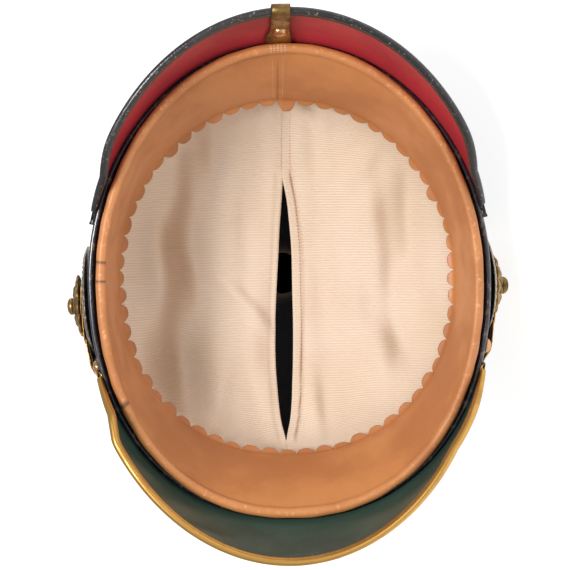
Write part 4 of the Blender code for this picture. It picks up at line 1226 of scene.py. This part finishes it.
# %% Channels
def make_channel(edge, facing, end_degrees, depth, wall, swell=0.0, groove=0.0):
    """A U folded round the edge: straight legs as deep as the leaf allows, and a round nose.

    swell bows the legs out, and groove sinks a seam line into them at 0.45 of their depth. All three
    shrink to 0.4 of themselves over the last thirty columns at each end.
    """
    inner, outer, _ = brim_faces(edge, facing, end_degrees)
    columns = inner.shape[1]
    middle = (inner + outer) / 2
    beyond = unit(middle[-1] - middle[-3])
    across = unit(outer[-1] - inner[-1])
    clear = 0.0002
    half = BRIM_WALL / 2 + clear
    tip = middle[-1] + clear * beyond
    taper = 0.4 + 0.6 * smoothstep(from_ends(columns) / 30)
    wall, swell, groove = wall * taper, swell * taper, groove * taper
    run = np.linalg.norm(middle - middle[-1], axis=-1)
    level = np.sum((middle - middle[-1]) * across, axis=-1)
    leg = np.maximum(np.minimum(depth, 0.8 * run[len(FLANGE_LEVELS)]), 1.05 * half)
    rows, hollow, worn = [], [], []

    def on_leg(share, side, away):
        """Point a share of the way from the nose to the lip, away from the leaf's middle on one side."""
        back = half + (leg - half) * share
        sink = np.array([np.interp(back[column], run[::-1, column], level[::-1, column])
                         for column in range(columns)])
        return tip - back[:, None] * beyond + (sink + side * away)[:, None] * across

    def outer_leg(shares, side, seam):
        """Sections of a leg's outer face: thinner at the lip, bowed out, with the groove sunk in."""
        for share in shares:
            lip = 1 - 0.6 * smoothstep((share - 0.93) / 0.07)
            arch = math.sin(math.pi * min(1.0, 1.25 * share))
            away = half + wall * lip + swell * arch - groove * bell(share, 0.45, 0.12)
            rows.append(on_leg(share, side, away))
            hollow.append(0.7 * float(share > 0.97) + seam * float(bell(share, 0.45, 0.10)))
            worn.append(float(np.clip(1 - share * 1.2, 0.0, 1.0)))

    def inner_leg(shares, side):
        """Sections of a leg's inner face."""
        for share in shares:
            rows.append(on_leg(share, side, half))
            hollow.append(0.8)
            worn.append(0.0)

    def round_nose(start, size, count, hollow_value, worn_value):
        """Sections round the edge, from one leg to the other."""
        for bend in np.radians(np.linspace(start, -start, count)):
            rows.append(tip - half * beyond + size * (math.cos(bend) * beyond + math.sin(bend) * across))
            hollow.append(hollow_value)
            worn.append(worn_value)

    shares = np.linspace(1, 0, 11)
    outer_leg(shares, -1, 0.8 * float(groove.max() > 0))
    round_nose(-75, (half + wall)[:, None], 11, 0.0, 1.0)
    outer_leg(shares[::-1], 1, 0.0)
    inner_leg((1.0, 0.5, 0.0), 1)
    round_nose(60, 0.98 * half, 7, 0.8, 0.0)
    inner_leg((0.0, 0.5, 1.0), -1)
    hollow = same_round(hollow, columns)
    # hollow is the brass's tarnish inside the U and at the lips; on the black binding the same values in the
    # mask cut are painted shade there, and the groove's share darkens its seam line
    masks = {"hollow": hollow, "cut": 0.8 * hollow, "edge": same_round(worn, columns)}
    return swept(np.transpose(np.array(rows), (1, 0, 2)), masks=masks)


trim = make_channel(peak_edge, -1, PEAK_END, 0.0032, 0.0006, swell=0.0004)
add_piece("peak_trim_brass", trim, TRIM_BRASS, ["peak_trim"])
binding = make_channel(guard_edge, 1, GUARD_END, 0.0038, 0.0008, groove=0.0003)
add_piece("guard_binding_leather", binding, BLACK, ["guard_binding"])

# %% [markdown]
# ## Rear spine
# A narrow brass strip covers the back seam of the real shell. It runs from the base plate down the
# back, over the guard and round its edge, where it widens and a stud holds it. A curve object with a
# bevel could follow this way, but its section would not lie flat on the shell. Here the middle line is
# collected from the shell's and the guard's own formulas, eased where it bends, and a flat section
# with soft edges is swept along it. Low down the real strip leans a little to one side, and so does
# this one.


# %% The spine's middle line
SPINE_HALF_THICKNESS = 0.00045
SPINE_HALF_WIDTH = 0.0044
SPINE_FLARE = 0.0022
SPINE_TOP_RADIUS = 0.0426
SPINE_SHIFT = 0.0029
BINDING_WALL = 0.0008


def smooth_line(points, step):
    """Points every step metres along a polyline whose corners are eased by six passes of an average."""
    points = np.asarray(points, float)
    run = arc_lengths(points, 0)
    fine = np.linspace(0, run[-1], int(run[-1] / step) + 1)
    line = np.stack([np.interp(fine, run, points[:, axis]) for axis in range(3)], axis=1)
    for _ in range(6):
        line[1:-1] = (line[:-2] + 2 * line[1:-1] + line[2:]) / 4
    return line


def spine_line():
    """Middle line of the strip: down the shell, over the guard, round its edge and back underneath.

    Low down it leans 2.9 mm to the wearer's left, as the real one does.
    """
    lift = GAP + SPINE_HALF_THICKNESS
    inner, outer, _ = brim_faces(guard_edge, 1, GUARD_END, columns=3)
    middle = ((inner + outer) / 2)[:, 1]
    facing = unit((outer - inner)[:, 1])
    height = np.linspace(float(shell_height(math.pi / 2, SPINE_TOP_RADIUS)), 0.014, 40)
    points = []
    for level in height:
        place = shell_frame(math.pi / 2, float(level))
        points.append(place[:3, 3] + lift * place[:3, 2])
    points.append(outer[0, 1] + np.array([0, lift + GAP, 0.0006]))
    reach = BRIM_WALL / 2 + 0.0002 + BINDING_WALL + GAP + SPINE_HALF_THICKNESS
    rows = np.arange(len(FLANGE_LEVELS) + 4, len(middle))
    points += list(middle[rows] + reach * facing[rows])
    edge, normal = middle[-1], facing[-1]
    beyond = np.array([0, -normal[2], normal[1]])
    beyond *= np.sign(beyond @ (edge - middle[-2]))
    for bend in np.radians(np.linspace(75, -90, 12)):
        ahead = reach * math.cos(bend) + SPINE_HALF_THICKNESS
        points.append(edge + reach * math.sin(bend) * normal + ahead * beyond)
    back = np.arange(len(middle) - 1, len(FLANGE_LEVELS), -1)
    points += list(middle[back] - reach * facing[back])
    line = smooth_line(points, 0.0008)
    line[:, 0] += SPINE_SHIFT * smoothstep((0.050 - line[:, 2]) / 0.055)
    return line


# %% The strip, and its stud
def make_spine():
    """Strip 0.9 mm thick with eased edges; its hooked end flares to a width of 12 mm and is nearly square."""
    line = spine_line()
    run = unit(np.gradient(line, axis=0))
    across = np.array([1.0, 0, 0])
    thick = np.cross(run, across)
    share = arc_lengths(line[:, None], 0)[:, 0]
    left = share[-1] - share
    bend = np.argmin(line[:, 2])
    hooked = np.arange(len(line)) > bend - 4
    half = SPINE_HALF_WIDTH - 0.0003 * bell(np.arange(len(line)), bend, 6)
    wide = np.where(hooked, SPINE_FLARE * smoothstep((0.016 - left) / 0.012), 0.0)
    tip = np.sqrt(np.clip(1 - 0.5 * (1 - left / 0.0012) ** 2, 0.04, 1))
    tip[left > 0.0012] = 1.0
    flat_radius = SHELL_HALF_WIDTH ** 2 / SHELL_HALF_LENGTH
    sections, hollow = [], []
    for side, face in ((-1, -0.4), (-0.9, -1), (-0.4, -1), (0.4, -1), (0.9, -1), (1, -0.4),
                       (1, 0.4), (0.9, 1), (0.4, 1), (-0.4, 1), (-0.9, 1), (-1, 0.4)):
        width = side * (half + (wide if side > 0 else 0.5 * wide)) * tip
        sag = width ** 2 / (2 * flat_radius) * np.where(hooked, -1.0, 1.0)
        crown = 0.00018 * (1 - side * side)
        away = face * SPINE_HALF_THICKNESS + np.sign(face) * crown
        sections.append(line + width[:, None] * across + (away - sag)[:, None] * thick)
        hollow.append(0.35 * abs(side) ** 6)
    masks = {"hollow": same_round(hollow, len(line))}
    return swept(np.stack(sections, axis=1), masks=masks), line, thick


def dome(radius, height, rim=0.0):
    """Profile of a stud: a flat foot, a low rim and an oval dome."""
    angle = np.linspace(0, math.pi / 2, 12)
    foot = [(0, 0), (radius * 0.94, 0), (radius, 0.03 * height), (radius, 0.10 * height),
            (radius * 0.985, 0.16 * height)]
    top = [(radius * (1 - rim) * math.cos(turn), 0.18 * height + 0.82 * height * math.sin(turn))
           for turn in angle[:-1]]
    return foot + top + [(0, height)]


spine, spine_middle, spine_thick = make_spine()
add_piece("rear_spine_brass", spine, OLD_BRASS, ["rear_spine"])
stud_low, stud_high = worn_box("spine_stud")
stud_centre = (stud_low + stud_high) / 2
half_way = len(spine_middle) // 2
STUD_STEPS_ON = 8
nearest = half_way + np.argmin(np.linalg.norm(spine_middle[half_way:] - stud_centre, axis=1)) + STUD_STEPS_ON
facing = spine_thick[nearest] * np.sign(spine_thick[nearest] @ (stud_centre - spine_middle[nearest]))
stud_place = frame_on(spine_middle[nearest] + facing * 0.0006, facing, (1.0, 0, 0))
stud = turned(dome(0.0038, 0.0021, 0.12), 40, stud_place)
add_piece("spine_stud_brass", stud, COPPER, ["spine_stud"])

# %% [markdown]
# ## Base plate, collar and spike
# On the crown of such a helmet sits a brass plate with four arms and a stud on each, then a collar
# with a ring of beads, then the spike. In this view they lie behind the helmet, and hardly anything of
# them shows, but other views need them. The plate could be cut from a disc with a boolean. It is a
# ring grid instead, whose outer radius swings in and out with the angle and whose height follows the
# crown, so it lies on the shell everywhere. Collar and spike were turned on a lathe, so they are
# turned here too, from profiles of radius and height.


# %% Base plate
def make_base():
    """A plate on the crown with four arms: its reach swings between 24.5 mm and 42 mm as it goes round."""
    columns = 240
    waist, arm, bore = 0.0245, 0.0420, 0.0090
    angle = np.linspace(0, 2 * math.pi, columns, endpoint=False)
    reach = waist + (arm - waist) * np.abs(np.cos(2 * angle)) ** 1.6
    rows, hollow, grime = [], [], []
    shares = np.concatenate([np.linspace(0, 0.90, 14), [0.925, 0.95, 0.97, 0.985, 1.0]])
    for share in shares:
        radius = bore + (reach - bore) * share
        rows.append(polar(radius, angle, shell_height(angle, radius) + 0.0005))
        hollow.append(0.6)
        # painted shade: the underside, which lies on the shell, is painted near black
        grime.append(1.0)
    for share in shares[::-1]:
        radius = bore + (reach - bore) * share
        rim = 0.00035 * bell(share, 0.95, 0.035) - 0.0004 * smoothstep((share - 0.985) / 0.015)
        rows.append(polar(radius, angle, shell_height(angle, radius) + 0.0017 + rim))
        hollow.append(0.5 * float(bell(share, 0.89, 0.02)))
        grime.append(0.0)
    masks = {"hollow": same_round(hollow, columns), "grime": same_round(grime, columns)}
    return swept(np.transpose(np.array(rows), (1, 0, 2)), wrap=True, masks=masks)


add_piece("base_plate_brass", make_base(), BRASS, ["spike_base"])
BASE_STUD_REACH, BASE_STUD_SEAT = 0.0345, 0.0021
for name, degrees in (("left", 0), ("rear", 90), ("right", 180), ("front", 270)):
    turn = math.radians(degrees)
    place = raised(shell_frame(turn, float(shell_height(turn, BASE_STUD_REACH))), BASE_STUD_SEAT)
    stud = turned(dome(0.0042, 0.0029, 0.15), 40, place)
    add_piece("base_stud_%s_brass" % name, stud, BRASS, ["base_stud_" + name])


# %% Collar
def ring_turned(profile, sides, hollow):
    """A closed profile with a bore, spun round the spike's axis; the bore is painted near black as shade."""
    angle = np.linspace(0, 2 * math.pi, sides, endpoint=False)
    grid = np.array([polar(radius, angle, height) for radius, height in profile])
    grime = np.array(profile)[:, 0] < 0.0085
    masks = {"hollow": same_round(hollow, sides), "grime": same_round(grime, sides)}
    return swept(np.transpose(grid, (1, 0, 2)), wrap=True, masks=masks)


collar_foot = worn_box("spike_collar")[0][2]
collar_profile = [(0.0080, 0.0), (0.0188, 0.0), (0.0194, 0.0004), (0.0195, 0.0012), (0.0191, 0.0021),
                  (0.0180, 0.0025), (0.0172, 0.0030), (0.0166, 0.0040), (0.0162, 0.0052), (0.0158, 0.0066),
                  (0.0156, 0.0080), (0.0157, 0.0094), (0.0161, 0.0106), (0.0166, 0.0114), (0.0168, 0.0120),
                  (0.0164, 0.0125), (0.0080, 0.0125)]
collar_profile = [(radius, collar_foot + height) for radius, height in collar_profile]
collar_hollow = [0.5, 0.4, 0, 0, 0, 0.3, 0.6, 0.3, 0, 0, 0, 0, 0, 0.2, 0, 0, 0.5]
collar = [ring_turned(collar_profile, 96, collar_hollow)]
for turn in np.linspace(0, 2 * math.pi, 36, endpoint=False):
    collar.append(ball(polar(0.0178, turn, collar_foot + 0.0026), 0.00125))
add_piece("spike_collar_brass", joined(collar), BRASS, ["spike_collar"])


# %% Spike
def spike_profile():
    """A wide foot that flares on to a slim cone, a ring at its neck and a rounded tip."""
    spike_low, spike_high = worn_box("spike")
    start, top = spike_low[2], spike_high[2]
    height = top - start
    tip_start, tip_radius = 0.965, 0.00118
    share = np.concatenate([np.linspace(0.012, 0.30, 26), np.linspace(0.33, tip_start, 18)])
    cone = 0.0063 + (0.0010 - 0.0063) * share
    flare = 0.0087 * np.clip(1 - share / 0.22, 0, 1) ** 1.8
    ring = 0.0007 * bell(share, 0.245, 0.012)
    radius = cone + flare + ring
    points = [(0, start), (0.0143, start), (0.0149, start + 0.0003), (0.0150, start + 0.0007)]
    points += list(zip(radius, start + share * height))
    for bend in np.radians([25, 50, 72]):
        rise = tip_start + (1 - tip_start) * math.sin(bend)
        points.append((tip_radius * math.cos(bend), start + height * rise))
    points.append((0, top))
    beside_ring = 0.5 * bell(share, 0.27, 0.012) + 0.5 * bell(share, 0.22, 0.012)
    hollow = [0, 0, 0, 0] + list(beside_ring) + [0, 0, 0, 0]
    return points, hollow


profile, hollow = spike_profile()
# painted shade: the spike's flat foot, hidden in the collar, is painted near black
grime = [1, 1, 0.5, 0] + [0] * (len(profile) - 4)
spike = turned(profile, 72, masks={"hollow": hollow, "grime": grime})
add_piece("spike_brass", spike, BRASS, ["spike"])

# %% [markdown]
# ## Fittings at the sides
# On each side a silvered cockade with a fluted ring lies on the shell, with a brass rosette on top that
# holds the chin scales. A stud closes each end of the peak's trim. The flutes and petals could be
# bump only, but both are seen from the edge, where bump vanishes. So each part is turned from a
# profile, and a ripple moves its points in and out with the angle. The real cockades are thin sheet
# and have bent with the shell, so their points sink a little on both sides, and the left one leans.

# %% Cockades
COCKADE_RADIUS = 0.0275
FLUTES = 48


def cockade_ripple(radius, angle, height):
    """Forty-eight flutes on the ring near the rim, slanted like a rope's strands."""
    share = radius / COCKADE_RADIUS
    ring = bell(share, 0.83, 0.11) * (height > 0.0012)
    wave = np.cos(FLUTES * angle + 54 * (share - 0.83))
    return radius + 0.00018 * wave * (share > 0.97), height + 0.00034 * ring * wave


def cockade_profile():
    """A plate 1.65 mm thick with a raised ring of 2.2 mm and a sharp inner groove."""
    radius = COCKADE_RADIUS
    share = np.array([0.985, 0.955, 0.92, 0.89, 0.86, 0.83, 0.80, 0.77, 0.74, 0.71, 0.685, 0.66, 0.63, 0.58,
                      0.45, 0.25])
    ring = 0.00165 + 0.00055 * bell(share, 0.83, 0.115)
    ring = ring - 0.0003 * bell(share, 0.665, 0.02) - 0.0008 * smoothstep((share - 0.94) / 0.05)
    points = [(0, 0), (0.60 * radius, 0), (0.99 * radius, 0.00055), (radius, 0.0008), (radius, 0.0010)]
    points += list(zip(share * radius, ring)) + [(0, 0.00165)]
    hollow = [0.6, 0.6, 0.3, 0.2, 0.1] + list(0.9 * bell(share, 0.665, 0.025)) + [0]
    return points, hollow


# %% Rosettes
def rosette_ripple(radius, angle, height):
    """Twelve outer petals and twelve inner ones between them."""
    outer = smoothstep((radius - 0.0098) / 0.003)
    inner = smoothstep((radius - 0.0052) / 0.002) * (1 - outer)
    lobes = np.abs(np.cos(6 * angle)) ** 0.6
    lobes_in = np.abs(np.sin(6 * angle)) ** 0.6
    radius = radius * (1 - 0.09 * outer * (1 - lobes))
    lift = (height > 0.0004) * (0.0007 * outer * (lobes - 0.6) + 0.0007 * inner * (lobes_in - 0.6))
    return radius, height + lift


def rosette_profile():
    """Rim, two steps of petals, a hollow and a ringed knob."""
    points = [(0, 0), (0.0132, 0), (0.0142, 0.0004), (0.0145, 0.0009), (0.0143, 0.0014), (0.0135, 0.0021),
              (0.0124, 0.0025), (0.0113, 0.0025), (0.0105, 0.0022), (0.0101, 0.0024), (0.0098, 0.0034),
              (0.0090, 0.0043), (0.0080, 0.0048), (0.0070, 0.0048), (0.0062, 0.0044), (0.0056, 0.0038),
              (0.0052, 0.0038), (0.0048, 0.0042), (0.0045, 0.0046), (0.0041, 0.0048), (0.0037, 0.0050),
              (0.0036, 0.0054), (0.0038, 0.0061), (0.0041, 0.0069), (0.0040, 0.0078), (0.0036, 0.0087),
              (0.0028, 0.0095), (0.0016, 0.0100), (0, 0.0102)]
    hollow = [0.6, 0.5, 0.2, 0, 0, 0, 0, 0.3, 0.8, 0.6, 0.1, 0, 0, 0, 0.3, 0.7, 0.8, 0.4, 0.2, 0.5, 0.7, 0.7,
              0.3, 0, 0, 0, 0, 0, 0]
    return points, hollow


# %% Where the fittings sit
FITTING_HEIGHT = 0.0320
FITTING_FORWARD = {1: 0.0105, -1: 0.0050}
FITTING_LEAN = {1: 4.5, -1: 1.0}
ROSETTE_HEIGHT = {1: 0.68, -1: 0.84}
TRIM_STUD_TURN = {1: 66.8, -1: 70.5}
STRAP_SEAT = GAP + 0.0022 + GAP


def fitting_angle(side):
    """Angle of a side's fittings: the left ones sit a little further forward than the right ones."""
    forward = FITTING_FORWARD[side]
    angle = -math.asin(forward / SHELL_HALF_WIDTH)
    return angle if side > 0 else math.pi - angle


def bent_round(points, place, side):
    """Points bent round the shell: they sink with the square of their distance, level as worn."""
    local = (points - place[:3, 3]) @ place[:3, 0] * -np.sign(place[1, 0])
    bend = np.where(local > 0, 0.0034, 0.0012) if side > 0 else 0.0028
    return points - (bend * (local / COCKADE_RADIUS) ** 2)[..., None] * place[:3, 2]


def fitting_place(side):
    """Seat of a side's fittings; the left ones lean further and stand 1.3 mm off."""
    place = shell_frame(fitting_angle(side), FITTING_HEIGHT)
    lean = math.radians(FITTING_LEAN[side])
    away, up = place[:3, 2].copy(), place[:3, 1].copy()
    up *= np.sign(up[2])
    place[:3, 2] = away * math.cos(lean) - up * math.sin(lean)
    place[:3, 1] = np.cross(place[:3, 2], place[:3, 0])
    return raised(place, 0.0013 * (side > 0))


# %% Both sides' fittings
for name, side in (("left", 1), ("right", -1)):
    place = fitting_place(side)
    points, hollow = cockade_profile()
    cockade = turned(points, 288, raised(place, GAP), cockade_ripple, {"hollow": hollow})
    cockade.points = bent_round(cockade.points, place, side)
    add_piece("cockade_%s_silver" % name, cockade, SILVER, ["cockade_" + name])
    points, hollow = rosette_profile()
    points = [(radius, ROSETTE_HEIGHT[side] * height) for radius, height in points]
    seat = STRAP_SEAT + 0.0020
    rosette = turned(points, 144, raised(place, seat), rosette_ripple, {"hollow": hollow})
    add_piece("rosette_%s_brass" % name, rosette, OLD_BRASS, ["rosette_" + name])
    turn = math.radians(TRIM_STUD_TURN[side])
    stud_angle = turn - math.pi / 2 if side > 0 else -math.pi / 2 - turn
    stud = turned(dome(0.0036, 0.0024, 0.12), 40, raised(shell_frame(stud_angle, 0.0050), GAP))
    add_piece("trim_stud_%s_brass" % name, stud, COPPER, ["trim_stud_" + name])

# %% [markdown]
# ## Chin scales
# The chin strap is brown leather covered with lapped brass scales, so that it bends like a chain. When
# it isn't worn, it lies forward over the peak's root. Twelve scales a side could be instances along a
# curve, but then they would stay flat where the strap bends. Each scale here is a plate of its own
# that follows the strap's surface and rises over the next one, with a rounded leading edge. The strap
# starts under the rosette in the cockade's plane and fades down on to the shell.


# %% The way of the strap
STRAP_FRONT_WIDTH, STRAP_EXTRA_WIDTH = 0.0150, 0.0090
STRAP_FRONT_HEIGHT = 0.0145


def strap_surface(side, share, across):
    """Back of the strap at a share of its length and across from -1 to 1, and its outward direction.

    Over the cockade it lies in a plane, and beyond it fades down on to the shell.
    """
    share, across = np.broadcast_arrays(np.asarray(share, float), np.asarray(across, float))
    place = fitting_place(side)
    origin, normal = place[:3, 3], place[:3, 2]
    start = fitting_angle(side) + 0.5 * 0.024 / SHELL_HALF_LENGTH * side
    front = -math.pi / 2 if side > 0 else 3 * math.pi / 2
    angle = start + (front + 0.0003 / SHELL_HALF_LENGTH * side - start) * share
    width = STRAP_FRONT_WIDTH + STRAP_EXTRA_WIDTH * (1 - share)
    fall = (FITTING_HEIGHT - STRAP_FRONT_HEIGHT) * (1 - share) ** 2
    level = STRAP_FRONT_HEIGHT + fall + across * width / 2
    shell = polar(shell_radius(angle, level), angle, level)
    outward = surface_normals(shell)
    outward = outward * np.sign(np.sum(outward * shell, axis=-1, keepdims=True))
    lying = shell + 0.0002 * outward
    seat = (STRAP_SEAT - (shell - origin) @ normal)[..., None]
    stood = bent_round(shell + normal * seat, place, side)
    beyond = np.linalg.norm(shell - origin, axis=-1) - 1.05 * COCKADE_RADIUS - 0.00375
    fade = smoothstep(beyond / (0.32 * COCKADE_RADIUS))[..., None]
    back = stood * (1 - fade) + lying * fade
    facing = surface_normals(back)
    facing = facing * np.sign(np.sum(facing * shell, axis=-1, keepdims=True))
    return back, facing


# %% Strap and scales
def make_strap(side):
    """Leather strap 0.5 mm thick under the scales."""
    share = np.linspace(0.004, 0.9985, 160)[:, None]
    across = np.linspace(-0.90, 0.90, 9)[None, :]
    back, facing = strap_surface(side, share, across)
    top = back + 0.0005 * facing
    sections = np.concatenate([back, top[:, ::-1]], axis=1)
    print("strap", round(float(arc_lengths(sections, 0)[-1].mean()), 4), "m long")
    return swept(sections, masks={"edge": np.zeros(sections.shape[:2])})


def make_scale(side, first, last):
    """One scale: a plate 0.5 mm thick that rises over the next one, its leading edge a half ellipse."""
    size = rows, columns = 17, 19
    long_share = np.linspace(0, 1, rows)[:, None]
    cross = np.linspace(-1, 1, columns)[None, :]
    lobe = np.sqrt(np.clip(1 - np.abs(cross) ** 2.3, 0, 1))
    reach = first + (last - first) * long_share * (0.62 + 0.38 * lobe)
    back, facing = strap_surface(side, np.broadcast_to(reach, size), np.broadcast_to(cross, size))
    lift = 0.0006 + 0.0005 * long_share ** 0.8 + 0.0003 * (1 - cross ** 2)
    ridge = 0.00022 * bell(long_share, 0.90, 0.05) + 0.00016 * bell(np.abs(cross), 0.90, 0.05)
    low = back + lift[..., None] * facing
    high = back + (lift + 0.00045 + ridge)[..., None] * facing
    hollow = 0.6 * smoothstep(1 - long_share / 0.25) + 0.5 * bell(long_share, 0.82, 0.04)
    hollow = np.broadcast_to(hollow, size).ravel()
    flat = np.stack([arc_lengths(low, 0), arc_lengths(low, 1)], axis=-1)
    return closed_sheet(low, high, flat, {"hollow": np.concatenate([np.full(rows * columns, 0.5), hollow])})


for name, side in (("left", 1), ("right", -1)):
    starts = np.linspace(0.002, 0.93, 12)
    lapped = 1.35 * (starts[1] - starts[0])
    scales = [make_scale(side, start, min(start + lapped, 0.9985)) for start in starts]
    add_piece("chin_scales_%s_brass" % name, joined(scales), BRASS, ["chin_scales_" + name])
    add_piece("chin_strap_%s_leather" % name, make_strap(side), STRAP)

# %% [markdown]
# ## Floor, light and camera
# The real helmet stands out against a white ground in soft light. A picture of a studio could light
# the scene, but two area lights are easier to place. The floor glows a little, so that it stays white
# round the shadow, and a bright sky fills the opening. The key light stands at the left of the picture,
# a little above its middle, and makes the folds and the bead read. A weak fill comes from the other
# side. The camera looks into the opening along the spike's axis, a little from the wearer's left and
# from the rear, from 1.25 m away, with a long lens.


# %% Floor
def make_floor():
    """A square of 12 m that glows a little, so that the picture stays white round the shadow."""
    mesh = bpy.data.meshes.new("floor")
    size = 6.0
    corners = [(-size, -size, 0), (size, -size, 0), (size, size, 0), (-size, size, 0)]
    mesh.from_pydata(corners, [], [(0, 1, 2, 3)])
    material = new_material("white_floor", {"Base Color": (0.42, 0.42, 0.42, 1), "Roughness": 0.9,
                                            "Emission Color": (1, 1, 1, 1), "Emission Strength": 0.86})[0]
    mesh.materials.append(material)
    floor = bpy.data.objects.new("floor", mesh)
    bpy.context.scene.collection.objects.link(floor)


# %% Lights and sky
def aimed(origin, target, up):
    """World matrix of something at origin that looks at target along its own -Z, both in the row frame."""
    back = unit(np.asarray(origin) - np.asarray(target))
    right = unit(np.cross(up, back))
    matrix = np.eye(4)
    matrix[:3, :3] = np.stack([right, np.cross(back, right), back], axis=1)
    matrix[:3, 3] = origin
    return Matrix(matrix.tolist())


def add_light(name, worn_place, size, power, colour):
    """A square area light at a worn place, aimed at the rim's centre."""
    data = bpy.data.lights.new(name, "AREA")
    data.shape = "SQUARE"
    data.size = size
    data.energy = power
    data.color = colour
    light = bpy.data.objects.new(name, data)
    light.matrix_world = aimed(to_row(worn_place), to_row((0, 0, 0.02)), (0, 0, 1))
    bpy.context.scene.collection.objects.link(light)


make_floor()
world = bpy.data.worlds.new("white_sky")
world.use_nodes = True
sky = world.node_tree.nodes["Background"]
sky.inputs["Color"].default_value = (1, 1, 1, 1)
sky.inputs["Strength"].default_value = 0.50
bpy.context.scene.world = world
add_light("key", (0.80, 0.12, -1.15), 0.42, 18.2, (1.0, 0.97, 0.94))
add_light("fill", (-0.50, -0.80, -1.40), 0.8, 1.3, (0.95, 0.97, 1.0))


# %% Camera
PICTURE_SIZE = 570
FOCAL_LENGTH = 2747
SENSOR = 36.0
CAMERA_WORN = (0.043, 0.0415, -1.25)
TARGET_WORN = (0.0023, -0.0018, 0.0)
ROLL_DEGREES = 1.1
camera_data = bpy.data.cameras.new("camera")
camera_data.sensor_width = SENSOR
camera_data.lens = SENSOR * FOCAL_LENGTH / PICTURE_SIZE
camera_data.clip_start = 0.05
camera_data.clip_end = 50
camera = bpy.data.objects.new("camera", camera_data)
camera_place = to_row(CAMERA_WORN)
roll = math.radians(ROLL_DEGREES)
picture_up = AXES @ np.array([-math.sin(roll), math.cos(roll), 0.0])
camera.matrix_world = aimed(camera_place, to_row(TARGET_WORN), picture_up)
bpy.context.scene.collection.objects.link(camera)
bpy.context.scene.camera = camera
print("camera", camera_place.round(4))
